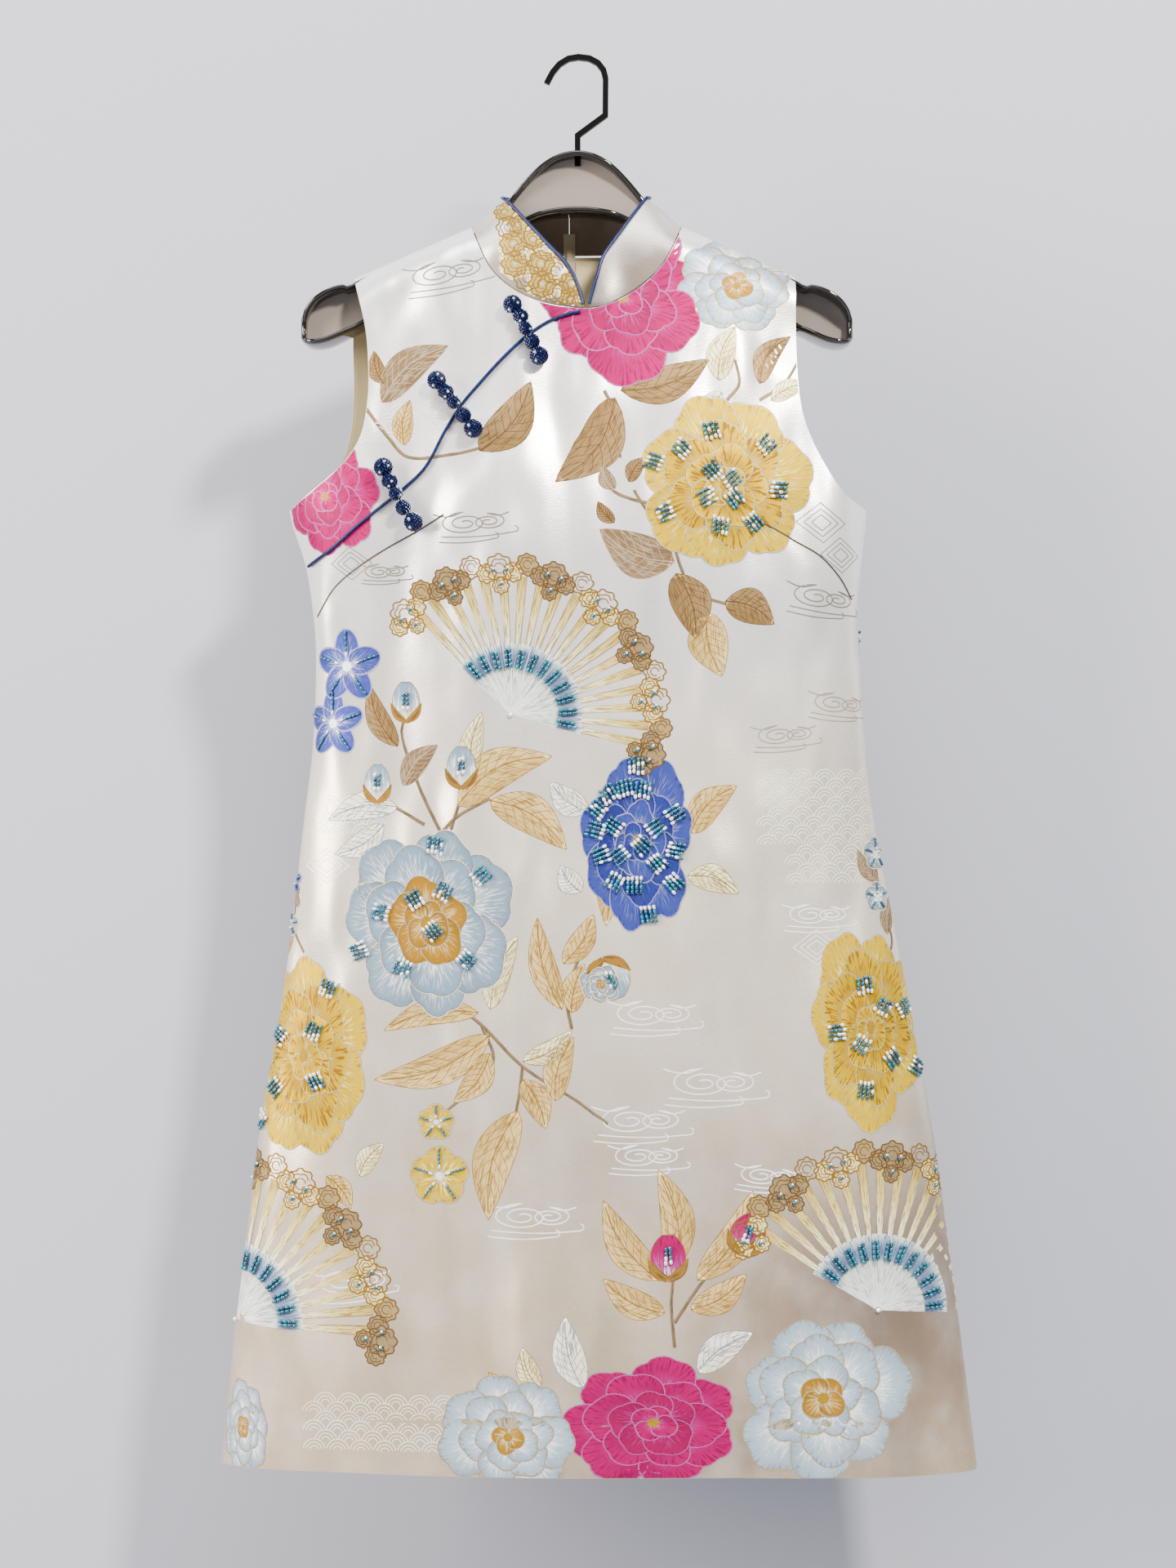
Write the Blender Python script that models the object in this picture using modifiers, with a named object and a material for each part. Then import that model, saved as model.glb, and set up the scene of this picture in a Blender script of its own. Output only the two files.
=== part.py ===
"""Mini dress with a stand collar and a slanted opening, hung on its hanger.

The unit is the metre, +Z is up, +X is to the viewer's right and the front faces -Y.
The origin is the inner top of the hanger hook's crook. The tables are in millimetres.
Every panel lies on one worn form: a side-to-side section that is flat in front and
behind and round at the side seams, with the cloth falling from the hanger's arms.
"""
import math

import bmesh
import bpy
import numpy as np
from mathutils import Vector

MM = 0.001
SEAM_GAP = 0.3
PANEL_WALL = 1.6
COLLAR_WALL = 2.0
FACING_WALL = 1.0
PIPING_RADIUS = 1.45
CORD_BEVEL = 1
SECTION_POWER = 2.6
FRONT_DROP = 28.0
BACK_DROP = 26.0
COLLAR_RISE = 1.2
UNDERARM_Z = -344.7
FACING_HEM_Z = -400.0
FACING_TOP_TRIM = 3.3
FACING_SIDE_TRIM = 1.2
FACING_INSET = 2.6
FRONT_COLUMNS = 28
BODY_ROWS = 20
TOP_ROWS = 13
SHOULDER_STEPS = 7
NECK_CUT_STEPS = 15
PRISM_REACH = 90.0
CUTTER_REACH = 300.0
BACK_COLUMNS = 13
BACK_TOP_ROWS = 12
COLLAR_ROWS = 4
ZIP_TOP_Z = -127.0
ZIP_END_Z = -500.0
ZIP_TAPE_WIDTH = 9.0
ZIP_COIL_WIDTH = 4.0
ZIP_ROWS = 36
TAPE_WALL = 0.8
COIL_WALL = 1.0

# Zip slider and its pull tab: its height, then half sizes, walls and radii
SLIDER_Z = -131.0
SLIDER_HALF_WIDTH, SLIDER_HALF_HEIGHT, SLIDER_PLATE = 3.8, 4.5, 1.4
PIVOT_AWAY = 2.3
EAR_INNER, EAR_OUTER, EAR_HALF_HEIGHT, EAR_ABOVE_PIVOT = 1.9, 2.9, 1.1, 1.0
PIN_RADIUS, PIN_LENGTH = 0.6, 4.6
EYE_RADIUS, EYE_WIDTH, EYE_BORE = 1.9, 2.6, 0.95
BLADE_HALF_WIDTH, BLADE_HALF_WALL, BLADE_FROM, BLADE_TO = 1.2, 0.5, 1.3, 5.0
TAB_HALF_WIDTH, TAB_HALF_WALL, TAB_FROM = 2.3, 0.55, 4.6
PULL_LENGTH = 20.0
OVERLAP = 0.4

HOOK_BAR = 4.4
BUTTON_CORE = 3.0
BUTTON_NEIGHBOUR_RISE = 0.45
STEM_SOCKET = 5.2
STEM_END_Z = -81.0
STEM_CLEARANCE = 0.4
SOCKET_TOP_Z = -60.0

# Worn form: height, left side, right side, depth of the front, depth of the back
FORM = (
    (-100, -214.0, 217.0, 33, 32),
    (-170, -216.0, 218.0, 36, 35),
    (-230, -218.0, 219.5, 43, 36),
    (-300, -219.0, 220.5, 52, 36),
    (-345, -218.5, 220.5, 55, 36),
    (-386, -206.6, 216.6, 54, 35),
    (-422, -201.0, 214.3, 50, 34),
    (-457, -198.8, 215.3, 46, 34),
    (-523, -201.3, 219.8, 43, 34),
    (-580, -208.1, 226.3, 42, 34),
    (-677, -219.3, 245.0, 41, 35),
    (-741, -228.5, 257.5, 41, 35),
    (-814, -241.5, 271.0, 41, 36),
    (-895, -251.6, 282.0, 42, 36),
    (-961, -260.0, 291.0, 42, 36),
    (-1069, -271.0, 304.6, 42, 36),
)

# Soft folds: start x, start z, end x, end z, half width, depth inwards, on the front
FOLDS = (
    (-74, -292, -118, -362, 13, 3.2, True),
    (-112, -150, -150, -226, 12, 2.4, True),
    (-160, -372, -110, -352, 16, -1.6, True),
    (206, -395, 176, -470, 14, 2.4, True),
    (120, -178, 152, -262, 14, 2.0, True),
    (-150, -700, -182, -1085, 38, 3.4, True),
    (-20, -760, -30, -1085, 46, -3.0, True),
    (105, -740, 118, -1085, 40, 3.0, True),
    (215, -720, 240, -1085, 34, -2.6, True),
    (-128, -640, -160, -1085, 44, 3.2, False),
    (20, -520, 30, -1085, 50, -3.0, False),
    (150, -660, 190, -1085, 42, 3.2, False),
    (-96, -230, -60, -330, 16, 2.2, False),
    (96, -230, 62, -330, 16, 2.2, False),
)

# Outlines in x and z, seen from the front
HEM_LEFT_Z, HEM_RIGHT_Z = -1067.0, -1072.0
SHOULDER_TIP = {"left": (-169.1, -166.8), "right": (165.2, -165.5)}
NECK_SIDE = {"left": (-80.6, -128.2), "right": (80.6, -128.2)}
FRONT_NECK = {
    "left": ((4.7, -196.0), (-19.3, -192.8), (-37.0, -187.0), (-51.1, -178.8), (-63.9, -166.4),
             (-73.0, -149.0), (-80.6, -128.2)),
    "right": ((9.4, -196.0), (21.7, -193.4), (34.6, -187.5), (48.7, -178.1), (61.6, -166.0),
              (71.5, -150.0), (80.6, -128.2)),
}
BACK_NECK = {
    "left": ((-80.6, -128.2), (-70.0, -136.5), (-50.0, -141.5), (-28.0, -143.5), (-6.0, -144.0)),
    "right": ((80.6, -128.2), (69.0, -136.5), (48.0, -141.5), (22.0, -143.5), (-6.0, -144.0)),
}
FRONT_ARMHOLE = {
    "left": ((-218.5, -344.7), (-196.0, -328.5), (-176.0, -312.2), (-162.5, -292.5),
             (-156.8, -266.0), (-156.2, -240.0), (-159.0, -207.5), (-169.1, -166.8)),
    "right": ((220.5, -344.7), (202.0, -333.0), (186.0, -311.5), (174.2, -288.4),
              (168.2, -269.0), (165.3, -240.0), (164.4, -205.0), (165.2, -165.5)),
}
BACK_ARMHOLE = {
    "left": ((-218.5, -344.7), (-204.0, -331.0), (-190.0, -317.0), (-179.6, -300.0),
             (-173.8, -276.0), (-172.2, -245.0), (-172.6, -205.0), (-169.1, -166.8)),
    "right": ((220.5, -344.7), (202.5, -331.5), (187.0, -314.0), (174.0, -297.0),
              (166.5, -274.0), (163.4, -245.0), (163.6, -205.0), (165.2, -165.5)),
}
OPENING = ((-206.0, -389.0), (-183.0, -374.3), (-164.0, -358.8), (-143.0, -343.2),
           (-126.3, -330.0), (-112.0, -315.5), (-98.5, -290.5), (-86.5, -270.7),
           (-71.9, -252.9), (-55.1, -234.1), (-38.4, -218.3), (-21.6, -206.6),
           (-5.0, -200.3), (7.0, -198.0))
CENTRE_BACK = ((-6.0, -144.0), (-2.0, -345.0), (8.0, -700.0), (16.5, -1070.0))

# Collar's free edge: from the centre front up to its corner, then round to the zip
COLLAR_EDGE = {
    "left": ((4.9, -38.5, -192.5), (2.6, -37.6, -183.0), (-2.4, -36.4, -170.5),
             (-9.5, -34.0, -159.0), (-20.6, -28.8, -146.8), (-36.0, -20.5, -129.2),
             (-54.0, -8.5, -107.8)),
    "right": ((9.2, -38.5, -192.5), (11.6, -37.6, -183.0), (15.2, -36.4, -170.5),
              (19.6, -33.0, -156.0), (28.0, -27.0, -142.6), (40.0, -18.5, -125.0),
              (52.4, -8.0, -106.8)),
}
COLLAR_BACK = {
    "left": ((-54.0, -8.5, -107.8), (-56.0, 2.0, -104.6), (-50.0, 13.0, -103.2),
             (-34.0, 20.5, -102.8), (-6.0, 24.0, -102.6)),
    "right": ((52.4, -8.0, -106.8), (54.6, 3.0, -104.4), (47.0, 14.0, -103.2),
              (28.0, 21.0, -102.8), (-6.0, 24.0, -102.6)),
}
COLLAR_FRONT_STEPS = 15
COLLAR_BACK_STEPS = 9
PIPING_STEPS = 34
PIPING_CROWDING = 1.5
PIPING_SEAT = 0.4
PIPING_END_CLEARANCE = 0.2

# Knot fastenings: ball centres in x and z, and ball radius
BUTTONS = {
    "button_upper": ((-47.7, -195.3, 7.2), (-41.6, -204.4, 6.1), (-38.0, -213.6, 5.4),
                     (-33.1, -223.6, 6.1), (-27.8, -234.1, 7.2)),
    "button_middle": ((-103.3, -252.4, 7.2), (-96.4, -261.4, 6.1), (-90.4, -269.4, 5.4),
                      (-83.4, -279.1, 6.1), (-76.1, -288.9, 7.2)),
    "button_lower": ((-142.1, -316.6, 7.2), (-137.2, -327.3, 6.1), (-132.4, -336.8, 5.4),
                     (-127.4, -347.0, 6.1), (-120.7, -357.4, 7.2)),
}

# Hanger: distance from the middle, top, bottom, half depth, squareness of the section
HANGER = (
    (0, -71.0, -118.0, 15.0, 3.2),
    (14, -73.4, -118.8, 15.0, 3.2),
    (27, -80.6, -121.0, 13.5, 3.2),
    (38, -90.6, -125.0, 10.0, 2.8),
    (50, -104.4, -131.0, 6.2, 2.4),
    (62, -120.2, -140.0, 7.0, 2.2),
    (74, -131.2, -151.0, 9.5, 2.2),
    (86, -134.4, -160.0, 12.5, 2.2),
    (106, -143.9, -172.5, 15.0, 2.2),
    (128, -154.1, -184.0, 16.0, 2.2),
    (150, -162.7, -197.0, 16.5, 2.2),
    (167, -170.5, -207.5, 17.0, 2.4),
    (173, -174.0, -210.0, 18.0, 2.8),
    (178, -173.0, -212.5, 19.5, 3.2),
    (190, -177.0, -217.5, 20.5, 3.4),
    (200, -183.5, -219.0, 20.0, 3.4),
    (206.5, -191.5, -217.5, 17.0, 3.0),
    (209.5, -199.0, -213.5, 12.0, 2.6),
)
HANGER_RING = 18

# Hook: middle of the flat bar, from the stem's foot to the tip
HOOK = ((0.5, -81.0), (0.5, -57.5), (21.6, -42.0), (21.8, -14.0), (20.2, -7.6), (16.0, -2.2),
        (9.4, 1.3), (1.0, 2.3), (-6.6, 1.0), (-13.4, -3.2), (-18.6, -9.4), (-23.2, -18.0))

MATERIALS = {
    "brocade": ((0.76, 0.70, 0.63), 0.38, 0.0),
    "lining": ((0.77, 0.67, 0.47), 0.5, 0.0),
    "navy_satin": ((0.03, 0.05, 0.19), 0.35, 0.0),
    "navy_bead": ((0.01, 0.015, 0.08), 0.12, 0.0),
    "smoked_plastic": ((0.03, 0.028, 0.028), 0.08, 0.0),
    "black_metal": ((0.012, 0.012, 0.011), 0.35, 1.0),
    "zip_tape": ((0.72, 0.63, 0.46), 0.6, 0.0),
    "zip_metal": ((0.66, 0.6, 0.48), 0.3, 1.0),
}


def clear_scene():
    for obj in list(bpy.data.objects):
        bpy.data.objects.remove(obj, do_unlink=True)


def material(name):
    found = bpy.data.materials.get(name)
    if found:
        return found
    colour, roughness, metallic = MATERIALS[name]
    made = bpy.data.materials.new(name)
    made.use_nodes = True
    shader = made.node_tree.nodes["Principled BSDF"]
    shader.inputs["Base Color"].default_value = (*colour, 1.0)
    shader.inputs["Roughness"].default_value = roughness
    shader.inputs["Metallic"].default_value = metallic
    return made


def hermite(xs, ys, x):
    """A smooth curve through the points of a table, read at x."""
    k = int(np.clip(np.searchsorted(xs, x) - 1, 0, len(xs) - 2))
    span = xs[k + 1] - xs[k]
    t = float(np.clip((x - xs[k]) / span, 0.0, 1.0))
    before, after = max(k - 1, 0), min(k + 2, len(xs) - 1)
    start = (ys[k + 1] - ys[before]) / (xs[k + 1] - xs[before]) * span
    end = (ys[after] - ys[k]) / (xs[after] - xs[k]) * span
    rise = ys[k + 1] - ys[k]
    return ys[k] + start * t + (3 * rise - 2 * start - end) * t**2 + (start + end - 2 * rise) * t**3


def form_at(z):
    heights = [row[0] for row in reversed(FORM)]
    return [hermite(heights, [row[i] for row in reversed(FORM)], z) for i in range(1, 5)]


def shoulder_z(x):
    """Height of the shoulder line, carried on past the neck and the shoulder tips."""
    side = "left" if x < 0 else "right"
    neck, tip = NECK_SIDE[side], SHOULDER_TIP[side]
    slope = (tip[1] - neck[1]) / (tip[0] - neck[0])
    return neck[1] + slope * (x - neck[0]) if abs(x) > abs(neck[0]) else neck[1]


def fold_depth(x, z, front):
    total = 0.0
    for x0, z0, x1, z1, half_width, depth, on_front in FOLDS:
        if on_front != front:
            continue
        run = np.array((x1 - x0, z1 - z0), float)
        along = float(np.dot((x - x0, z - z0), run) / np.dot(run, run))
        away = abs((x - x0) * run[1] - (z - z0) * run[0]) / np.linalg.norm(run)
        fade = math.sin(math.pi * np.clip(along, 0.0, 1.0) / 2) if z1 < -1000 else (
            math.sin(math.pi * np.clip(along, 0.0, 1.0)))
        total += depth * fade * math.exp(-((away / half_width) ** 2))
    return total


def cloth_point(x, z, front):
    """The outer face of the front or of the back at x and z."""
    left, right, front_depth, back_depth = form_at(z)
    middle, half = (left + right) / 2, (right - left) / 2
    across = min(abs(x - middle) / half, 1.0)
    span = math.sqrt(max(1 - across**SECTION_POWER, 0.0))
    drop = FRONT_DROP if front else BACK_DROP
    below = np.clip((shoulder_z(x) - z) / drop, 0.0, 1.0)
    over_arm = math.sqrt(1 - (1 - below) ** 2)
    depth = (front_depth if front else back_depth) * span * over_arm
    depth -= fold_depth(x, z, front) * span * over_arm
    return np.array((x, -depth if front else depth, z))


def cloth_normal(x, z, front):
    step = 0.5
    east = cloth_point(x + step, z, front) - cloth_point(x - step, z, front)
    north = cloth_point(x, z + step, front) - cloth_point(x, z - step, front)
    normal = np.cross(east, north)
    normal /= np.linalg.norm(normal)
    return normal if (normal[1] < 0) == front else -normal


def even(steps):
    return np.linspace(0, 1, steps + 1)


def crowd_at_end(steps):
    """Places from 0 to 1 that crowd towards 1, where the cloth turns over the shoulder."""
    return np.sin(even(steps) * math.pi / 2)


def spline(points, places):
    """Points at the given shares of the length of a smooth curve through the given ones."""
    p = np.array(points, float)
    knots = np.concatenate([[0], np.cumsum(np.linalg.norm(np.diff(p, axis=0), axis=1))])
    fine = np.linspace(0, knots[-1], 40 * len(p))
    curve = np.array([[hermite(knots, p[:, k], t) for k in range(p.shape[1])] for t in fine])
    run = np.concatenate([[0], np.cumsum(np.linalg.norm(np.diff(curve, axis=0), axis=1))])
    at = np.array(places) * run[-1]
    return np.stack([np.interp(at, run, curve[:, k]) for k in range(p.shape[1])], axis=1)


def patch(bottom, top, left, right):
    """A four-sided net between its edges; each is a row of points from left or from below."""
    rows, columns = len(left), len(bottom)
    v = np.linspace(0, 1, rows)[:, None, None]
    u = np.linspace(0, 1, columns)[None, :, None]
    sides = (1 - u) * left[:, None] + u * right[:, None]
    ends = (1 - v) * bottom[None] + v * top[None]
    corners = (1 - u) * (1 - v) * bottom[0] + u * (1 - v) * bottom[-1]
    corners = corners + (1 - u) * v * top[0] + u * v * top[-1]
    return sides + ends - corners


def round_spacing(steps):
    """Places from 0 to 1 that crowd towards both ends, where the section turns."""
    angles = np.linspace(math.pi, 0, steps + 1)
    across = np.sign(np.cos(angles)) * np.abs(np.cos(angles)) ** (2 / SECTION_POWER)
    return (across + 1) / 2


def half_round_spacing(steps):
    """Places from 0 at the side seam to 1 at the middle, crowding towards the side."""
    angles = np.linspace(math.pi, math.pi / 2, steps + 1)
    return 1 - np.abs(np.cos(angles)) ** (2 / SECTION_POWER)


def between(start, end, places):
    return np.array([np.array(start) + (np.array(end) - np.array(start)) * t for t in places])


def side_seam(side, z_from, z_to, steps):
    column = 0 if side == "left" else 1
    return np.array([(form_at(z)[column], z) for z in np.linspace(z_from, z_to, steps + 1)])


def join(*runs):
    """Runs of points end to end, without repeating the point where two meet."""
    return np.concatenate([runs[0]] + [run[1:] for run in runs[1:]])


def new_object(name, mesh, slot):
    obj = bpy.data.objects.new(name, mesh)
    mesh.materials.clear()
    mesh.materials.append(material(slot))
    bpy.data.collections["mini_dress"].objects.link(obj)
    return obj


def surface_mesh(name, net, outward):
    """An open quad surface on a net of points, turned to face along outward(point)."""
    rows, columns = net.shape[:2]
    bm = bmesh.new()
    bmesh.ops.create_grid(bm, x_segments=columns - 1, y_segments=rows - 1, size=1)
    bm.verts.ensure_lookup_table()
    order = sorted(bm.verts, key=lambda v: (round(v.co.y, 5), round(v.co.x, 5)))
    for vert, point in zip(order, net.reshape(-1, 3)):
        vert.co = Vector(point * MM)
    bm.normal_update()
    facing = 0.0
    for face in bm.faces:
        facing += face.normal.dot(Vector(outward(face.calc_center_median() / MM))) * face.calc_area()
    if facing < 0:
        bmesh.ops.reverse_faces(bm, faces=bm.faces)
    mesh = bpy.data.meshes.new(name)
    bm.to_mesh(mesh)
    bm.free()
    return mesh


def evaluated_mesh(obj):
    """The object's mesh with its modifiers applied, in its own frame."""
    graph = bpy.context.evaluated_depsgraph_get()
    return bpy.data.meshes.new_from_object(obj.evaluated_get(graph))


def thicken(obj, wall, keep=None):
    """Give the surface a wall inwards, and hold its points on the near side of a seam plane."""
    shell = obj.modifiers.new("wall", "SOLIDIFY")
    shell.thickness = wall * MM
    shell.offset = -1
    mesh = evaluated_mesh(obj)
    obj.modifiers.clear()
    for vert in mesh.vertices:
        if keep:
            vert.co = Vector(keep(vert.co))
    slot = obj.data.materials[0].name
    obj.data = mesh
    mesh.materials.clear()
    mesh.materials.append(material(slot))
    return obj


def lift(flat_net, front):
    """A net of x and z raised onto the cloth's outer face."""
    net = np.empty(flat_net.shape[:2] + (3,))
    for i, row in enumerate(flat_net):
        for j, (x, z) in enumerate(row):
            net[i, j] = cloth_point(x, z, front)
    return net


def in_front(co):
    return (co.x, min(co.y, -SEAM_GAP * MM / 2), co.z)


def behind(co):
    return (co.x, max(co.y, SEAM_GAP * MM / 2), co.z)


def forwards(point):
    return (0, -1, 0)


def backwards(point):
    return (0, 1, 0)


def front_net():
    """The x and z of the whole front, from hem to shoulders, before the neck is cut out."""
    places = round_spacing(FRONT_COLUMNS)
    underarm = between(FRONT_ARMHOLE["left"][0], FRONT_ARMHOLE["right"][0], places)
    left = side_seam("left", HEM_LEFT_Z, UNDERARM_Z, BODY_ROWS)
    right = side_seam("right", HEM_RIGHT_Z, UNDERARM_Z, BODY_ROWS)
    underarm[0], underarm[-1] = left[-1], right[-1]
    body = patch(between(left[0], right[0], places), underarm, left, right)
    top = join(between(SHOULDER_TIP["left"], NECK_SIDE["left"], even(SHOULDER_STEPS)),
               between(NECK_SIDE["left"], NECK_SIDE["right"],
                       even(FRONT_COLUMNS - 2 * SHOULDER_STEPS)),
               between(NECK_SIDE["right"], SHOULDER_TIP["right"], even(SHOULDER_STEPS)))
    upper = patch(underarm, top, spline(FRONT_ARMHOLE["left"], crowd_at_end(TOP_ROWS)),
                  spline(FRONT_ARMHOLE["right"], crowd_at_end(TOP_ROWS)))
    return np.concatenate([body, upper[1:]])


def prism(name, outline):
    """A closed block through the whole dress, its outline given in x and z."""
    bm = bmesh.new()
    corners = [bm.verts.new(Vector((x, -PRISM_REACH, z)) * MM) for x, z in outline]
    face = bm.faces.new(corners)
    pushed = bmesh.ops.extrude_face_region(bm, geom=[face])["geom"]
    moved = [item for item in pushed if isinstance(item, bmesh.types.BMVert)]
    bmesh.ops.translate(bm, verts=moved, vec=(0, 2 * PRISM_REACH * MM, 0))
    bmesh.ops.recalc_face_normals(bm, faces=bm.faces)
    mesh = bpy.data.meshes.new(name)
    bm.to_mesh(mesh)
    bm.free()
    return new_object(name, mesh, "brocade")


def neck_prism(neck):
    left = spline(neck["left"], even(NECK_CUT_STEPS))
    right = spline(neck["right"], even(NECK_CUT_STEPS))
    above = ((NECK_SIDE["right"][0], 0.0), (NECK_SIDE["left"][0], 0.0))
    first = right if neck["left"][0][0] > neck["left"][-1][0] else right[::-1]
    last = left[::-1] if neck["left"][0][0] > neck["left"][-1][0] else left
    return prism("neck_cutter", [*first, *above, *last])


def opening_prism(shift):
    """Everything above and to the left of the slanted seam, moved by shift."""
    run = spline(OPENING, even(PIPING_STEPS)) + np.array((shift, -shift))
    start_x, start_z = run[0]
    far = ((run[-1][0], 0.0), (-CUTTER_REACH, 0.0), (-CUTTER_REACH, start_z - 40.0),
           (start_x - 50.0, start_z - 32.0))
    return prism("opening_cutter", [*run, *far])


def make_front(name, operation, shift):
    """One of the two pieces of the front, parted along the slanted seam."""
    net = lift(front_net(), True)
    obj = new_object(name, surface_mesh(name, net, forwards), "brocade")
    thicken(obj, PANEL_WALL, in_front)
    apply_boolean(obj, neck_prism(FRONT_NECK), "DIFFERENCE")
    apply_boolean(obj, opening_prism(shift), operation)
    return obj


def centre_back_x(z):
    rows = list(reversed(CENTRE_BACK))
    return hermite([row[1] for row in rows], [row[0] for row in rows], z)


def back_net(side, hem_z):
    """The x and z of one back, from its side seam and armhole to the zip."""
    sign = -1 if side == "left" else 1
    places = half_round_spacing(BACK_COLUMNS)
    column = 0 if side == "left" else 1

    def seam_x(z):
        return centre_back_x(z) + sign * SEAM_GAP / 2

    row = between((form_at(UNDERARM_Z)[column], UNDERARM_Z), (seam_x(UNDERARM_Z), UNDERARM_Z),
                  places)
    middle_hem = (HEM_LEFT_Z + HEM_RIGHT_Z) / 2
    hem = between((form_at(hem_z)[column], hem_z), (seam_x(middle_hem), middle_hem), places)
    outer = side_seam(side, hem_z, UNDERARM_Z, BODY_ROWS)
    inner = np.array([(seam_x(z), z) for z in np.linspace(middle_hem, UNDERARM_Z, BODY_ROWS + 1)])
    body = patch(hem, row, outer, inner)
    neck_z = NECK_SIDE[side][1]
    shoulder = between(SHOULDER_TIP[side], NECK_SIDE[side], even(SHOULDER_STEPS))
    neck = between(NECK_SIDE[side], (seam_x(neck_z), neck_z), even(BACK_COLUMNS - SHOULDER_STEPS))
    armhole = spline(BACK_ARMHOLE[side], crowd_at_end(BACK_TOP_ROWS))
    rise = neck_z - UNDERARM_Z
    inner = np.array([(seam_x(z), z) for z in UNDERARM_Z + rise * crowd_at_end(BACK_TOP_ROWS)])
    upper = patch(row, join(shoulder, neck), armhole, inner)
    return np.concatenate([body, upper[1:]])


def make_back(side):
    hem_z = HEM_LEFT_Z if side == "left" else HEM_RIGHT_Z
    net = lift(back_net(side, hem_z), False)
    sign = -1 if side == "left" else 1

    def keep(co):
        x, y, z = behind(co)
        edge = (centre_back_x(z / MM) + sign * SEAM_GAP / 2) * MM
        return (min(x, edge) if sign < 0 else max(x, edge), y, z)

    name = "back_" + side
    obj = new_object(name, surface_mesh(name, net, backwards), "brocade")
    thicken(obj, PANEL_WALL, keep)
    apply_boolean(obj, neck_prism(BACK_NECK), "DIFFERENCE")
    return obj


def net_normals(net, outward):
    """Unit normals at the points of a net, turned towards outward."""
    normal = np.cross(np.gradient(net, axis=1), np.gradient(net, axis=0))
    normal /= np.linalg.norm(normal, axis=2)[:, :, None]
    return normal if np.sum(normal @ np.array(outward, float)) > 0 else -normal


def read_net(net, row, column):
    """The point of a net at a row and a column that may lie between its lines."""
    i, j = min(int(row), len(net) - 2), min(int(column), net.shape[1] - 2)
    v, u = row - i, column - j
    low = net[i, j] * (1 - u) + net[i, j + 1] * u
    high = net[i + 1, j] * (1 - u) + net[i + 1, j + 1] * u
    return low * (1 - v) + high * v


def make_facing(side):
    """The cream facing inside one back, made from the back's own points, moved inwards."""
    sign = -1 if side == "left" else 1
    hem_z = HEM_LEFT_Z if side == "left" else HEM_RIGHT_Z
    outer = lift(back_net(side, hem_z), False)
    inner = outer - net_normals(outer, (0, 1, 0)) * FACING_INSET
    first = BODY_ROWS * (1 - (FACING_HEM_Z - UNDERARM_Z) / (HEM_LEFT_Z - UNDERARM_Z))
    last = len(outer) - 1
    top = last - FACING_TOP_TRIM
    rows = [first, *range(math.ceil(first), math.ceil(top)), top]
    zip_room = ZIP_TAPE_WIDTH / 2 + SEAM_GAP
    net = []
    for row in rows:
        line = []
        for column in (FACING_SIDE_TRIM, *range(math.ceil(FACING_SIDE_TRIM), BACK_COLUMNS + 1)):
            spot = read_net(inner, row, column)
            limit = centre_back_x(spot[2]) + sign * zip_room
            if (spot[0] - limit) * sign < 0:
                before = line[-1]
                share = (limit - before[0]) / (spot[0] - before[0])
                spot = before + (spot - before) * share
            line.append(spot)
        net.append(line)
    name = "facing_" + side
    obj = new_object(name, surface_mesh(name, np.array(net), backwards), "lining")
    return thicken(obj, FACING_WALL)


def neck_run(side):
    """The neck seam of one half in space, from the centre front round to the zip."""
    front = [cloth_point(x, z, True) for x, z in spline(FRONT_NECK[side], even(COLLAR_FRONT_STEPS))]
    back = [cloth_point(x, z, False) for x, z in spline(BACK_NECK[side], even(COLLAR_BACK_STEPS))]
    return join(np.array(front), np.array(back))


def collar_edge(side):
    return join(spline(COLLAR_EDGE[side], even(COLLAR_FRONT_STEPS)),
                spline(COLLAR_BACK[side], even(COLLAR_BACK_STEPS)))


def make_collar(side):
    sign = -1 if side == "left" else 1
    foot, edge = neck_run(side), collar_edge(side)
    rise = edge - foot
    foot = foot + rise / np.linalg.norm(rise, axis=1)[:, None] * COLLAR_RISE
    steps = np.linspace(0, 1, COLLAR_ROWS + 1)[:, None, None]
    net = foot[None] * (1 - steps) + edge[None] * steps
    seam_x = BACK_NECK["left"][-1][0] + sign * SEAM_GAP / 2
    net[:, -1, 0] = seam_x

    def keep(co):
        if co.y < 0:
            return tuple(co)
        return (min(co.x, seam_x * MM) if sign < 0 else max(co.x, seam_x * MM), co.y, co.z)

    def outward(point):
        return (point[0], point[1] - 2.0, 0)

    name = "collar_" + side
    obj = new_object(name, surface_mesh(name, net, outward), "brocade")
    return thicken(obj, COLLAR_WALL, keep)


def tube(name, points, radius, slot):
    """A round cord with filled ends through points in space."""
    curve = bpy.data.curves.new(name, "CURVE")
    curve.dimensions = "3D"
    curve.bevel_depth = radius * MM
    curve.bevel_resolution = CORD_BEVEL
    curve.use_fill_caps = True
    line = curve.splines.new("POLY")
    line.points.add(len(points) - 1)
    for spot, point in zip(line.points, points):
        spot.co = (*(np.array(point) * MM), 1.0)
    return new_object(name, curve, slot)


def make_opening_piping():
    """Cord along the slanted seam, resting on both pieces."""
    lift_off = PIPING_RADIUS + 2 * SEAM_GAP
    run = []
    for x, z in spline(OPENING, even(PIPING_STEPS) ** PIPING_CROWDING)[1:-1]:
        run.append(cloth_point(x, z, True) + lift_off * cloth_normal(x, z, True))
    return tube("piping_opening", run, PIPING_RADIUS, "navy_satin")


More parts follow.
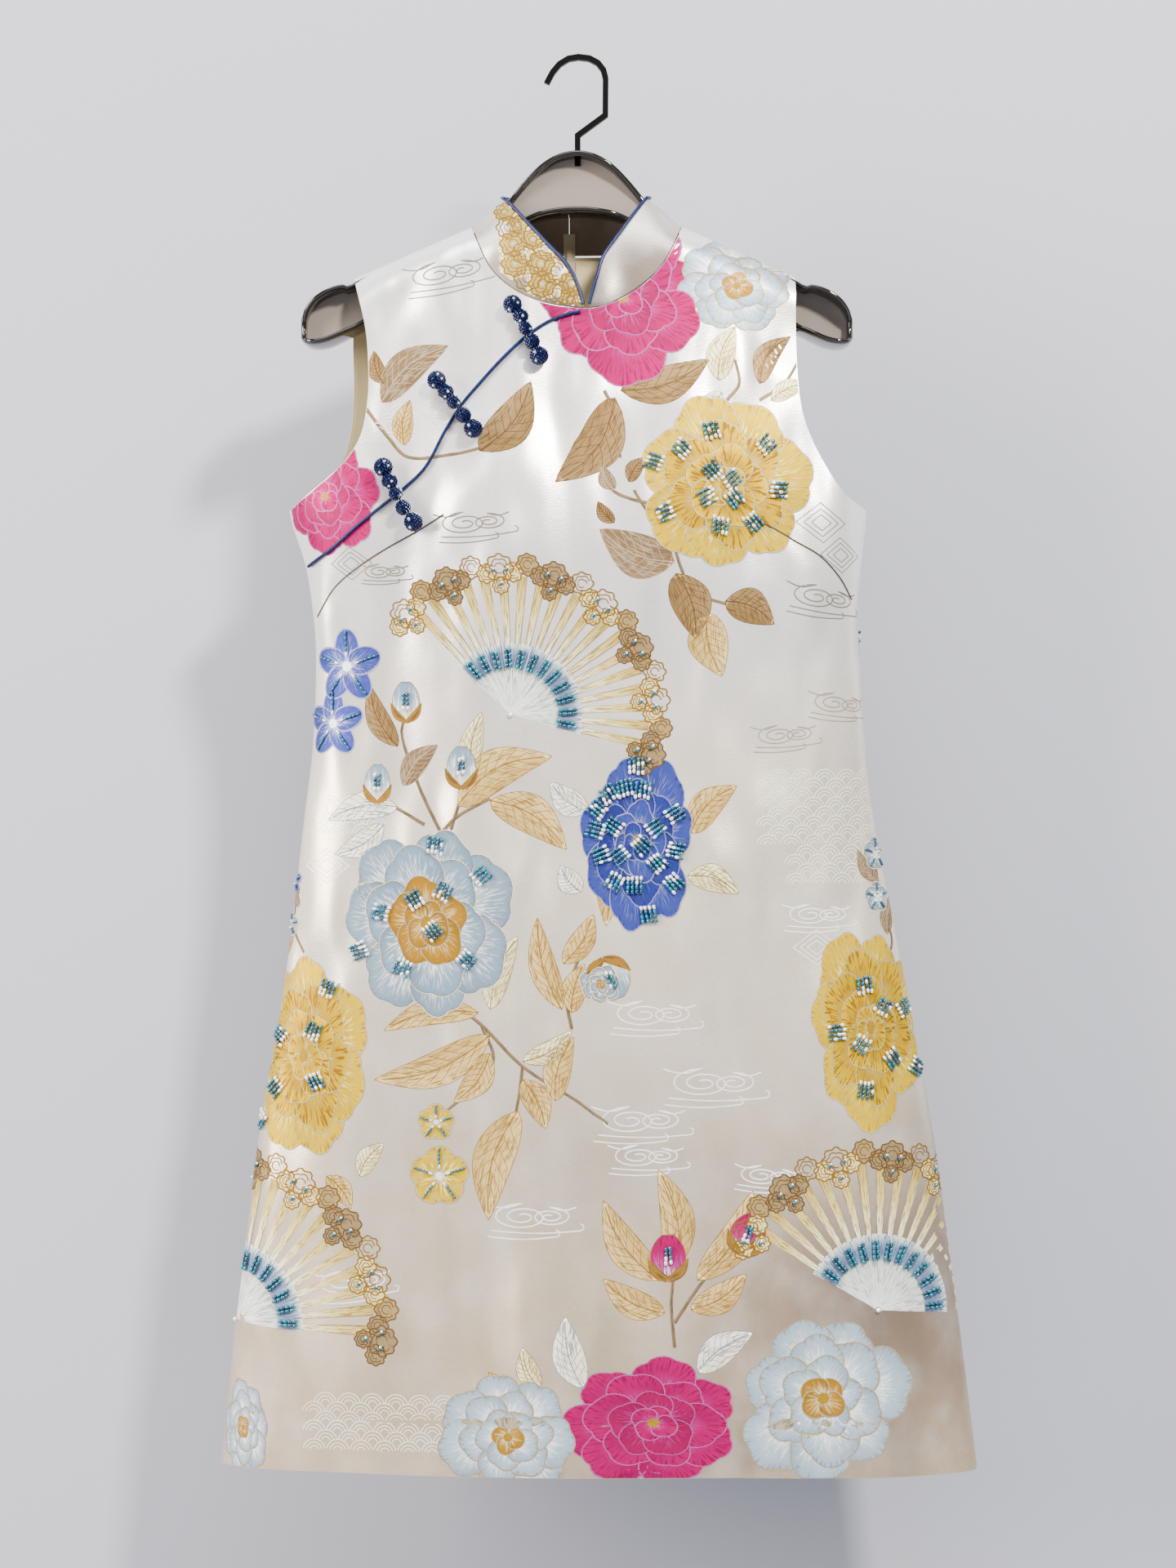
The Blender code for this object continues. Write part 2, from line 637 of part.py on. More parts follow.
def make_collar_piping(side):
    """Cord on the collar's free edge, from the centre front round to the zip."""
    sign = -1 if side == "left" else 1
    foot, edge = neck_run(side), collar_edge(side)
    run = []
    for k, spot in enumerate(edge):
        before, after = edge[max(k - 1, 0)], edge[min(k + 1, len(edge) - 1)]
        rise = edge[k] - foot[k]
        out = np.cross(after - before, rise)
        out /= np.linalg.norm(out)
        if np.dot(out, (spot[0], spot[1] - 2.0, 0.0)) < 0:
            out = -out
        up = rise / np.linalg.norm(rise)
        run.append(spot + out * (PIPING_RADIUS + 2 * SEAM_GAP) - up * PIPING_SEAT)
    run[-1][0] += sign * (SEAM_GAP + PIPING_END_CLEARANCE)
    return tube("piping_collar_" + side, run, PIPING_RADIUS, "navy_satin")


def apply_boolean(obj, other, operation):
    cut = obj.modifiers.new(operation.lower(), "BOOLEAN")
    cut.operation = operation
    cut.solver = "EXACT"
    cut.object = other
    mesh = evaluated_mesh(obj)
    obj.modifiers.clear()
    slot = obj.data.materials[0].name
    obj.data = mesh
    mesh.materials.clear()
    mesh.materials.append(material(slot))
    other_mesh = other.data
    bpy.data.objects.remove(other, do_unlink=True)
    bpy.data.meshes.remove(other_mesh)


def ball(name, centre, radius, slot):
    bm = bmesh.new()
    bmesh.ops.create_icosphere(bm, subdivisions=2, radius=radius * MM)
    bmesh.ops.translate(bm, verts=bm.verts, vec=Vector(centre * MM))
    mesh = bpy.data.meshes.new(name)
    bm.to_mesh(mesh)
    bm.free()
    return new_object(name, mesh, slot)


def link(name, start, end, radius, slot):
    """A short round core from one point to another."""
    run = Vector(end) - Vector(start)
    bm = bmesh.new()
    bmesh.ops.create_cone(bm, cap_ends=True, segments=8, radius1=radius * MM,
                          radius2=radius * MM, depth=run.length * MM)
    turn = run.to_track_quat("Z", "Y").to_matrix()
    bmesh.ops.rotate(bm, verts=bm.verts, matrix=turn)
    bmesh.ops.translate(bm, verts=bm.verts, vec=(Vector(start) + run / 2) * MM)
    mesh = bpy.data.meshes.new(name)
    bm.to_mesh(mesh)
    bm.free()
    return new_object(name, mesh, slot)


def make_button(name):
    """Five beaded balls on a cord core, fused; the middle one sits over the piping."""
    over_piping = 2 * PIPING_RADIUS + 2 * SEAM_GAP
    button, previous = None, None
    for k, (x, z, radius) in enumerate(BUTTONS[name]):
        spring = over_piping * (0.0, BUTTON_NEIGHBOUR_RISE, 1.0, BUTTON_NEIGHBOUR_RISE, 0.0)[k]
        away = radius + 2 * SEAM_GAP + spring
        centre = cloth_point(x, z, True) + away * cloth_normal(x, z, True)
        bead = ball(name + "_bead", centre, radius, "navy_bead")
        if button is None:
            bead.name = name
            button = bead
        else:
            core = link(name + "_core", previous, centre, BUTTON_CORE, "navy_bead")
            apply_boolean(button, core, "UNION")
            apply_boolean(button, bead, "UNION")
        previous = centre
    return button


def box_object(name, low, high, slot):
    bm = bmesh.new()
    bmesh.ops.create_cube(bm, size=1.0)
    for vert in bm.verts:
        vert.co = Vector([(lo if c < 0 else hi) * MM for c, lo, hi in zip(vert.co, low, high)])
    mesh = bpy.data.meshes.new(name)
    bm.to_mesh(mesh)
    bm.free()
    return new_object(name, mesh, slot)


def rod_object(name, centre, radius, length, slot):
    """A round rod lying along X."""
    bm = bmesh.new()
    bmesh.ops.create_cone(bm, cap_ends=True, segments=16, radius1=radius * MM,
                          radius2=radius * MM, depth=length * MM)
    for vert in bm.verts:
        vert.co = Vector((vert.co.z, vert.co.y, -vert.co.x)) + Vector(centre) * MM
    mesh = bpy.data.meshes.new(name)
    bm.to_mesh(mesh)
    bm.free()
    return new_object(name, mesh, slot)


def zip_line_y(z):
    """Outer face of the cloth at the centre back, on the back or on the collar above it."""
    seam_z = BACK_NECK["left"][-1][1]
    foot_y = cloth_point(centre_back_x(seam_z), seam_z, False)[1]
    if z <= seam_z:
        return cloth_point(centre_back_x(z), z, False)[1]
    top = COLLAR_BACK["left"][-1]
    return foot_y + (top[1] - foot_y) * (z - seam_z) / (top[2] - seam_z)


def make_zip_strip(name, width, inset, wall, rows_below_top):
    """A strip down the inside of the centre back."""
    heights = np.linspace(ZIP_END_Z, ZIP_TOP_Z, ZIP_ROWS + 1)[:ZIP_ROWS + 1 - rows_below_top]
    net = np.empty((len(heights), 2, 3))
    for i, z in enumerate(heights):
        for j, across in enumerate((-0.5, 0.5)):
            net[i, j] = (centre_back_x(z) + across * width, zip_line_y(z) - inset, z)
    return thicken(new_object(name, surface_mesh(name, net, backwards), "zip_tape"), wall)


def make_zip():
    """Tape and coil inside, slider with its bridge outside, and the hinged pull tab."""
    tape_inset = COLLAR_WALL + 4 * SEAM_GAP
    make_zip_strip("zip_tape", ZIP_TAPE_WIDTH, tape_inset, TAPE_WALL, 0)
    make_zip_strip("zip_coil", ZIP_COIL_WIDTH, tape_inset + TAPE_WALL + SEAM_GAP, COIL_WALL, 1)
    x = centre_back_x(SLIDER_Z)
    face = max(zip_line_y(SLIDER_Z - 5), zip_line_y(SLIDER_Z + 5)) + SEAM_GAP
    outside = face + SLIDER_PLATE
    pivot = Vector((x, outside + PIVOT_AWAY, SLIDER_Z))
    slider = box_object("zip_slider", (x - SLIDER_HALF_WIDTH, face, SLIDER_Z - SLIDER_HALF_HEIGHT),
                        (x + SLIDER_HALF_WIDTH, outside, SLIDER_Z + SLIDER_HALF_HEIGHT), "zip_metal")
    for side in (-1, 1):
        inner, outer = sorted((x + side * EAR_INNER, x + side * EAR_OUTER))
        ear = box_object("ear", (inner, outside - OVERLAP, SLIDER_Z - EAR_HALF_HEIGHT),
                         (outer, pivot.y + EAR_ABOVE_PIVOT, SLIDER_Z + EAR_HALF_HEIGHT), "zip_metal")
        apply_boolean(slider, ear, "UNION")
    pin = rod_object("pin", pivot, PIN_RADIUS, PIN_LENGTH, "zip_metal")
    apply_boolean(slider, pin, "UNION")
    pull = rod_object("zip_pull", pivot, EYE_RADIUS, EYE_WIDTH, "zip_metal")
    blade = box_object("blade", (x - BLADE_HALF_WIDTH, pivot.y - BLADE_HALF_WALL, SLIDER_Z - BLADE_TO),
                       (x + BLADE_HALF_WIDTH, pivot.y + BLADE_HALF_WALL, SLIDER_Z - BLADE_FROM),
                       "zip_metal")
    apply_boolean(pull, blade, "UNION")
    tab = box_object("tab", (x - TAB_HALF_WIDTH, pivot.y - TAB_HALF_WALL, SLIDER_Z - PULL_LENGTH),
                     (x + TAB_HALF_WIDTH, pivot.y + TAB_HALF_WALL, SLIDER_Z - TAB_FROM), "zip_metal")
    apply_boolean(pull, tab, "UNION")
    bore = rod_object("bore", pivot, EYE_BORE, 2 * EYE_WIDTH, "zip_metal")
    apply_boolean(pull, bore, "DIFFERENCE")


def make_hanger_body():
    """A contoured hanger: rounded sections set along its length, from tip to tip."""
    stations = [(-row[0], *row[1:]) for row in reversed(HANGER[1:])] + list(HANGER)
    bm = bmesh.new()
    rings = []
    for x, top, bottom, half_depth, power in stations:
        middle, half_height = (top + bottom) / 2, (top - bottom) / 2
        ring = []
        for k in range(HANGER_RING):
            angle = 2 * math.pi * k / HANGER_RING
            c, s = math.cos(angle), math.sin(angle)
            y = math.copysign(abs(c) ** (2 / power), c) * half_depth
            z = middle + math.copysign(abs(s) ** (2 / power), s) * half_height
            ring.append(bm.verts.new(Vector((x, y, z)) * MM))
        rings.append(ring)
    for left, right in zip(rings, rings[1:]):
        for k in range(HANGER_RING):
            after = (k + 1) % HANGER_RING
            bm.faces.new((left[k], left[after], right[after], right[k]))
    bm.faces.new(rings[0])
    bm.faces.new(reversed(rings[-1]))
    bmesh.ops.recalc_face_normals(bm, faces=bm.faces)
    mesh = bpy.data.meshes.new("hanger_body")
    bm.to_mesh(mesh)
    bm.free()
    hanger = new_object("hanger_body", mesh, "smoked_plastic")
    half = STEM_SOCKET / 2
    socket = box_object("socket", (HOOK[0][0] - half, -half, STEM_END_Z - STEM_CLEARANCE),
                        (HOOK[0][0] + half, half, SOCKET_TOP_Z), "smoked_plastic")
    apply_boolean(hanger, socket, "DIFFERENCE")
    return hanger


def make_hanger_hook():
    """A square bar bent in one plane, its stem standing in the hanger's socket."""
    path = np.array(HOOK)
    half = HOOK_BAR / 2
    bm = bmesh.new()
    rings = []
    for k, spot in enumerate(path):
        before = path[k] - path[k - 1] if k else path[1] - path[0]
        after = path[k + 1] - path[k] if k < len(path) - 1 else before
        before, after = before / np.linalg.norm(before), after / np.linalg.norm(after)
        mitre = before + after
        mitre /= np.linalg.norm(mitre)
        side = np.array((-mitre[1], mitre[0])) * half / max(float(np.dot(mitre, before)), 0.5)
        corners = ((side, -half), (side, half), (-side, half), (-side, -half))
        rings.append([bm.verts.new(Vector((spot[0] + s[0], y, spot[1] + s[1])) * MM)
                      for s, y in corners])
    for low, high in zip(rings, rings[1:]):
        for k in range(4):
            after = (k + 1) % 4
            bm.faces.new((low[k], low[after], high[after], high[k]))
    bm.faces.new(rings[0])
    bm.faces.new(reversed(rings[-1]))
    bmesh.ops.recalc_face_normals(bm, faces=bm.faces)
    mesh = bpy.data.meshes.new("hanger_hook")
    bm.to_mesh(mesh)
    bm.free()
    return new_object("hanger_hook", mesh, "black_metal")


def main():
    clear_scene()
    parts = bpy.data.collections.new("mini_dress")
    bpy.context.scene.collection.children.link(parts)
    make_front("front_panel", "DIFFERENCE", SEAM_GAP / 2)
    make_front("front_yoke", "INTERSECT", -SEAM_GAP / 2)
    for side in ("left", "right"):
        make_back(side)
        make_facing(side)
        make_collar(side)
        make_collar_piping(side)
    make_opening_piping()
    for name in BUTTONS:
        make_button(name)
    make_zip()
    make_hanger_body()
    make_hanger_hook()


main()
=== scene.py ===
"""Looks of the mini dress on its hanger.

A length in a table is in millimetres, or in pixels of the photograph where its comment
says so. A place on the cloth is given by its distance round the body from the middle of
the front or of the back, and its height.
"""

import math

import bmesh
import bpy
import numpy as np
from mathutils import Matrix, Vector
from mathutils.bvhtree import BVHTree


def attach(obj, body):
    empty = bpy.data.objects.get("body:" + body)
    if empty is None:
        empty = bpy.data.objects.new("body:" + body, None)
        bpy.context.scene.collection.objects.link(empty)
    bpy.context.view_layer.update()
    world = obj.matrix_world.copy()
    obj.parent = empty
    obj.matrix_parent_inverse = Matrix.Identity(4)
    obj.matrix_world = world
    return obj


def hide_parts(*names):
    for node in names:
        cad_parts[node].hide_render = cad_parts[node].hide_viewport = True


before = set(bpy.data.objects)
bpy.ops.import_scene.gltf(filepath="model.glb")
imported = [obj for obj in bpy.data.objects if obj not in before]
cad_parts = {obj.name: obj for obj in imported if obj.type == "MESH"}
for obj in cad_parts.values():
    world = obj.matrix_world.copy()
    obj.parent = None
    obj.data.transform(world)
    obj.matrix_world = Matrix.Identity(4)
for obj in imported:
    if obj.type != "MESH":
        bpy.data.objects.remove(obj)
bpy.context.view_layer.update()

MM = 0.001
SEAM_GAP = 0.3
PANEL_WALL = 1.4
COLLAR_WALL = 2.0
PIPING_RADIUS = 1.3
SECTION_POWER = 2.6
FRONT_DROP = 28.0
BACK_DROP = 26.0
PHOTO_WIDTH, PHOTO_HEIGHT = 1440, 1920
PHOTO_SCALE = 0.62222
CAMERA_AWAY = 2000.0
CAMERA_X, CAMERA_Z = 8.4, -551.3
PIXEL = 0.608
COLOUR_BOOST = 1.3
TONE_CURVE = 2.2
WHITE_LEVEL = 2.8
LUMINANCE = np.array((0.2126, 0.7152, 0.0722))

# Worn form: height, left side, right side, depth of the front, depth of the back
FORM = (
    (-100, -214.0, 217.0, 33, 32),
    (-170, -216.0, 218.0, 36, 35),
    (-230, -218.0, 219.5, 43, 36),
    (-300, -219.0, 220.5, 52, 36),
    (-345, -218.5, 220.5, 55, 36),
    (-386, -206.6, 216.6, 54, 35),
    (-422, -201.0, 214.3, 50, 34),
    (-457, -198.8, 215.3, 46, 34),
    (-523, -201.3, 219.8, 43, 34),
    (-580, -208.1, 226.3, 42, 34),
    (-677, -219.3, 245.0, 41, 35),
    (-741, -228.5, 257.5, 41, 35),
    (-814, -241.5, 271.0, 41, 36),
    (-895, -251.6, 282.0, 42, 36),
    (-961, -260.0, 291.0, 42, 36),
    (-1069, -271.0, 304.6, 42, 36),
)

# Folds: start x, start z, end x, end z, half width, depth inwards, on the front
FOLDS = (
    (-74, -292, -118, -362, 13, 3.2, True),
    (-112, -150, -150, -226, 12, 2.4, True),
    (-160, -372, -110, -352, 16, -1.6, True),
    (206, -395, 176, -470, 14, 2.4, True),
    (120, -178, 152, -262, 14, 2.0, True),
    (-150, -700, -182, -1085, 38, 3.4, True),
    (-20, -760, -30, -1085, 46, -3.0, True),
    (105, -740, 118, -1085, 40, 3.0, True),
    (215, -720, 240, -1085, 34, -2.6, True),
    (-128, -640, -160, -1085, 44, 3.2, False),
    (20, -520, 30, -1085, 50, -3.0, False),
    (150, -660, 190, -1085, 42, 3.2, False),
    (-96, -230, -60, -330, 16, 2.2, False),
    (96, -230, 62, -330, 16, 2.2, False),
)
# Small creases, in the same columns
CREASES = (
    (-168, -196, -150, -262, 5, 0.9, True),
    (-150, -262, -146, -300, 4, -0.7, True),
    (158, -214, 138, -246, 4, 0.9, True),
    (160, -238, 132, -262, 4, -0.7, True),
    (196, -388, 168, -404, 4, 1.0, True),
    (204, -400, 172, -424, 5, -0.8, True),
    (-196, -420, -150, -398, 6, 1.0, True),
    (-186, -438, -120, -420, 7, -0.8, True),
    (-60, -300, -96, -338, 6, 1.0, True),
    (-96, -356, -60, -420, 9, 0.9, True),
    (96, -360, 60, -430, 10, 0.9, True),
    (-214, -900, -120, -880, 12, 0.8, True),
    (60, -905, 170, -930, 13, 0.8, True),
    (-110, -540, -60, -660, 16, 1.0, True),
    (60, -560, 130, -640, 16, -1.0, True),
    (-168, -200, -146, -270, 5, 0.9, False),
    (160, -214, 136, -262, 5, 0.9, False),
    (-190, -420, -120, -404, 7, 0.9, False),
    (188, -410, 120, -398, 7, 0.9, False),
    (-120, -560, -70, -680, 16, 1.0, False),
    (70, -580, 120, -660, 16, -1.0, False),
    (-210, -890, -120, -905, 12, 0.8, False),
    (80, -920, 190, -900, 12, 0.8, False),
)
# The bust darts, from the side seam inwards, as pixels of the photograph
DART_Y = -45.0
DART_PIXELS = (
    ((383, 752), (407, 717), (442, 690), (474, 671), (511.5, 651), (543.6, 631)),
    ((1048, 731), (1031.6, 704.5), (1006, 679), (975.5, 662.4), (945, 645.8), (927, 639)),
)
HEM_LEFT_Z, HEM_RIGHT_Z = -1067.0, -1072.0
HEM_DEPTH = 41.0
UNDERARM_Z = -344.7
SHOULDER_TIP = {"left": (-169.1, -166.8), "right": (165.2, -165.5)}
NECK_SIDE = {"left": (-80.6, -128.2), "right": (80.6, -128.2)}
FRONT_NECK = {
    "left": ((4.7, -196.0), (-19.3, -192.8), (-37.0, -187.0), (-51.1, -178.8), (-63.9, -166.4),
             (-73.0, -149.0), (-80.6, -128.2)),
    "right": ((9.4, -196.0), (21.7, -193.4), (34.6, -187.5), (48.7, -178.1), (61.6, -166.0),
              (71.5, -150.0), (80.6, -128.2)),
}
BACK_NECK = {
    "left": ((-80.6, -128.2), (-70.0, -136.5), (-50.0, -141.5), (-28.0, -143.5), (-6.0, -144.0)),
    "right": ((80.6, -128.2), (69.0, -136.5), (48.0, -141.5), (22.0, -143.5), (-6.0, -144.0)),
}
FRONT_ARMHOLE = {
    "left": ((-218.5, -344.7), (-196.0, -328.5), (-176.0, -312.2), (-162.5, -292.5),
             (-156.8, -266.0), (-156.2, -240.0), (-159.0, -207.5), (-169.1, -166.8)),
    "right": ((220.5, -344.7), (202.0, -333.0), (186.0, -311.5), (174.2, -288.4),
              (168.2, -269.0), (165.3, -240.0), (164.4, -205.0), (165.2, -165.5)),
}
BACK_ARMHOLE = {
    "left": ((-218.5, -344.7), (-204.0, -331.0), (-190.0, -317.0), (-179.6, -300.0),
             (-173.8, -276.0), (-172.2, -245.0), (-172.6, -205.0), (-169.1, -166.8)),
    "right": ((220.5, -344.7), (202.5, -331.5), (187.0, -314.0), (174.0, -297.0),
              (166.5, -274.0), (163.4, -245.0), (163.6, -205.0), (165.2, -165.5)),
}
OPENING = ((-206.0, -389.0), (-183.0, -374.3), (-164.0, -358.8), (-143.0, -343.2),
           (-126.3, -330.0), (-112.0, -315.5), (-98.5, -290.5), (-86.5, -270.7),
           (-71.9, -252.9), (-55.1, -234.1), (-38.4, -218.3), (-21.6, -206.6),
           (-5.0, -200.3), (7.0, -198.0))
CENTRE_BACK = ((-6.0, -144.0), (-2.0, -345.0), (8.0, -700.0), (16.5, -1070.0))
COLLAR_EDGE = {
    "left": ((4.9, -38.5, -192.5), (2.6, -37.6, -183.0), (-2.4, -36.4, -170.5),
             (-9.5, -34.0, -159.0), (-20.6, -28.8, -146.8), (-36.0, -20.5, -129.2),
             (-54.0, -8.5, -107.8)),
    "right": ((9.2, -38.5, -192.5), (11.6, -37.6, -183.0), (15.2, -36.4, -170.5),
              (19.6, -33.0, -156.0), (28.0, -27.0, -142.6), (40.0, -18.5, -125.0),
              (52.4, -8.0, -106.8)),
}
COLLAR_BACK = {
    "left": ((-54.0, -8.5, -107.8), (-56.0, 2.0, -104.6), (-50.0, 13.0, -103.2),
             (-34.0, 20.5, -102.8), (-6.0, 24.0, -102.6)),
    "right": ((52.4, -8.0, -106.8), (54.6, 3.0, -104.4), (47.0, 14.0, -103.2),
              (28.0, 21.0, -102.8), (-6.0, 24.0, -102.6)),
}
BUTTONS = {
    "button_upper": ((-47.7, -195.3, 7.2), (-41.6, -204.4, 6.1), (-38.0, -213.6, 5.4),
                     (-33.1, -223.6, 6.1), (-27.8, -234.1, 7.2)),
    "button_middle": ((-103.3, -252.4, 7.2), (-96.4, -261.4, 6.1), (-90.4, -269.4, 5.4),
                      (-83.4, -279.1, 6.1), (-76.1, -288.9, 7.2)),
    "button_lower": ((-142.1, -316.6, 7.2), (-137.2, -327.3, 6.1), (-132.4, -336.8, 5.4),
                     (-127.4, -347.0, 6.1), (-120.7, -357.4, 7.2)),
}


# numbers

def seen_at(px, py, y):
    """The place, at depth y, that shows at a pixel of the photograph."""
    away = (CAMERA_AWAY + y) / CAMERA_AWAY * PHOTO_SCALE
    return CAMERA_X + (px - PHOTO_WIDTH / 2) * away, CAMERA_Z - (py - PHOTO_HEIGHT / 2) * away


def dart_line(pixels):
    """A dart's line in millimetres, to one decimal place."""
    places = [seen_at(px, py, DART_Y) for px, py in pixels]
    return tuple((round(x, 1), round(z, 1)) for x, z in places)


DARTS = tuple(dart_line(pixels) for pixels in DART_PIXELS)


def even(steps):
    return np.linspace(0, 1, steps + 1)


def hermite(xs, ys, x):
    """A smooth curve through the points of a table, read at x."""
    k = int(np.clip(np.searchsorted(xs, x) - 1, 0, len(xs) - 2))
    span = xs[k + 1] - xs[k]
    t = float(np.clip((x - xs[k]) / span, 0.0, 1.0))
    before, after = max(k - 1, 0), min(k + 2, len(xs) - 1)
    start = (ys[k + 1] - ys[before]) / (xs[k + 1] - xs[before]) * span
    end = (ys[after] - ys[k]) / (xs[after] - xs[k]) * span
    rise = ys[k + 1] - ys[k]
    return ys[k] + start * t + (3 * rise - 2 * start - end) * t**2 + (start + end - 2 * rise) * t**3


def spline(points, places):
    """Points at the given shares of the length of a smooth curve through the given ones."""
    p = np.array(points, float)
    knots = np.concatenate([[0], np.cumsum(np.linalg.norm(np.diff(p, axis=0), axis=1))])
    fine = np.linspace(0, knots[-1], 40 * len(p))
    curve = np.array([[hermite(knots, p[:, k], t) for k in range(p.shape[1])] for t in fine])
    run = np.concatenate([[0], np.cumsum(np.linalg.norm(np.diff(curve, axis=0), axis=1))])
    at = np.array(places) * run[-1]
    return np.stack([np.interp(at, run, curve[:, k]) for k in range(p.shape[1])], axis=1)


def linear(hex_colour):
    """A colour written as sRGB hex, in linear light."""
    parts = [int(hex_colour[k:k + 2], 16) / 255 for k in (1, 3, 5)]
    return np.array([c / 12.92 if c <= 0.04045 else ((c + 0.055) / 1.055) ** 2.4 for c in parts])


def strong(hex_colour):
    """A dye colour in linear light, deepened, because the picture's tone curve greys it."""
    c = linear(hex_colour)
    grey = c @ LUMINANCE
    c = np.clip(grey + (c - grey) * COLOUR_BOOST, 0.002, 1.0)
    return np.clip(c * math.exp(TONE_CURVE * (c @ LUMINANCE) ** 3) / WHITE_LEVEL, 0.0, 0.9)


# the worn form, unrolled

Z_STEP = 2.0
HEIGHTS = np.arange(-1120.0, -89.0, Z_STEP)
FORM_AT = np.array([[hermite([r[0] for r in FORM[::-1]], [r[k] for r in FORM[::-1]], z)
                     for z in HEIGHTS] for k in range(1, 5)])
SHARES = 181


def unroll(front):
    """Half the way round at each height, and the section's angle at each share of it."""
    half = (FORM_AT[1] - FORM_AT[0]) / 2
    depth = FORM_AT[2 if front else 3]
    a = np.linspace(math.pi, 0, 361)
    bent = np.sign(np.cos(a)) * np.abs(np.cos(a)) ** (2 / SECTION_POWER)
    arcs, angles = [], []
    for k in range(len(HEIGHTS)):
        step = np.hypot(np.diff(bent * half[k]), np.diff(np.sin(a) * depth[k]))
        run = np.concatenate([[0], np.cumsum(step)])
        arcs.append(run[-1] / 2)
        angles.append(np.interp(np.linspace(0, run[-1], SHARES), run, a))
    return np.array(arcs), np.array(angles)


UNROLLED = {True: unroll(True), False: unroll(False)}


def half_arc(z, front):
    return np.interp(z, HEIGHTS, UNROLLED[front][0])


def form_at(z):
    return [np.interp(z, HEIGHTS, row) for row in FORM_AT]


def shoulder_z(x):
    """Height of the shoulder line, carried on past the neck and the shoulder tips."""
    result = np.full(np.shape(x), NECK_SIDE["left"][1])
    for side, sign in (("left", -1), ("right", 1)):
        neck, tip = NECK_SIDE[side], SHOULDER_TIP[side]
        slope = (tip[1] - neck[1]) / (tip[0] - neck[0])
        past = x * sign > abs(neck[0])
        result = np.where(past, neck[1] + slope * (x - neck[0]), result)
    return result


def fold_depth(x, z, front):
    total = np.zeros(np.shape(x))
    for x0, z0, x1, z1, half_width, depth, on_front in FOLDS + CREASES:
        if on_front != front:
            continue
        run = np.array((x1 - x0, z1 - z0), float)
        along = ((x - x0) * run[0] + (z - z0) * run[1]) / np.dot(run, run)
        away = np.abs((x - x0) * run[1] - (z - z0) * run[0]) / np.linalg.norm(run)
        reach = np.clip(along, 0.0, 1.0)
        fade = np.sin(math.pi * reach / 2) if z1 < -1000 else np.sin(math.pi * reach)
        total += depth * fade * np.exp(-((away / half_width) ** 2))
    return total


def line_distance(x, z, points):
    """Distance to a line of points, and the share of the line's length at the nearest place."""
    p = np.array(points, float)
    runs = np.linalg.norm(np.diff(p, axis=0), axis=1)
    starts = np.concatenate([[0], np.cumsum(runs)])
    best, share = np.full(np.shape(x), 1e9), np.zeros(np.shape(x))
    for k in range(len(p) - 1):
        d = p[k + 1] - p[k]
        t = np.clip(((x - p[k, 0]) * d[0] + (z - p[k, 1]) * d[1]) / np.dot(d, d), 0, 1)
        away = np.hypot(x - p[k, 0] - t * d[0], z - p[k, 1] - t * d[1])
        share = np.where(away < best, (starts[k] + t * runs[k]) / starts[-1], share)
        best = np.minimum(best, away)
    return best, share


def hem_z(x):
    left, right = FORM_AT[0][0], FORM_AT[1][0]
    return HEM_LEFT_Z + (HEM_RIGHT_Z - HEM_LEFT_Z) * (x - left) / (right - left)


def sewn_depth(x, z, front):
    """The dents that sewing leaves: bust darts, the hem's turn-up and the edges' roll."""
    above_hem = z - hem_z(x)
    total = 0.7 * np.exp(-(((above_hem - HEM_DEPTH) / 4.5) ** 2))
    total += 0.9 * np.exp(-((above_hem / 3.5) ** 2))
    if front:
        for dart in DARTS:
            away, share = line_distance(x, z, dart)
            total += 1.1 * (1 - share**3) * np.exp(-((away / 4.5) ** 2))
    else:
        seam = np.interp(z, [p[1] for p in CENTRE_BACK[::-1]], [p[0] for p in CENTRE_BACK[::-1]])
        total += 0.9 * np.exp(-(((x - seam) / 3.5) ** 2))
    return total


def section_angle(s, z, front):
    arcs, angles = UNROLLED[front]
    share = np.clip(s / np.interp(z, HEIGHTS, arcs), -1, 1)
    row = np.clip((z - HEIGHTS[0]) / Z_STEP, 0, len(HEIGHTS) - 1.001)
    col = (share + 1) / 2 * (SHARES - 1)
    i, j = row.astype(int), np.minimum(col.astype(int), SHARES - 2)
    f, g = row - i, col - j
    low = angles[i, j] * (1 - g) + angles[i, j + 1] * g
    high = angles[i + 1, j] * (1 - g) + angles[i + 1, j + 1] * g
    return low * (1 - f) + high * f


def cloth(s, z, front):
    """The outer face at s round from the middle and at height z, as points in space."""
    s, z = np.asarray(s, float), np.asarray(z, float)
    a = section_angle(s, z, front)
    left, right, front_depth, back_depth = form_at(z)
    c = np.cos(a)
    x = (left + right) / 2 + (right - left) / 2 * np.sign(c) * np.abs(c) ** (2 / SECTION_POWER)
    span = np.sin(a)
    below = np.clip((shoulder_z(x) - z) / (FRONT_DROP if front else BACK_DROP), 0.0, 1.0)
    over_arm = np.sqrt(1 - (1 - below) ** 2)
    depth = (front_depth if front else back_depth) * span * over_arm
    depth -= (fold_depth(x, z, front) + sewn_depth(x, z, front)) * span * over_arm
    return np.stack([x, -depth if front else depth, z], axis=-1)


def cloth_normal(s, z, front, step=0.5):
    arc = half_arc(z, front)
    east = cloth(np.minimum(s + step, arc), z, front) - cloth(np.maximum(s - step, -arc), z, front)
    north = cloth(s, z + step, front) - cloth(s, z - step, front)
    normal = np.cross(east, north)
    normal /= np.maximum(np.linalg.norm(normal, axis=-1), 1e-9)[..., None]
    wrong = (normal[..., 1] > 0) if front else (normal[..., 1] < 0)
    return np.where(wrong[..., None], -normal, normal)


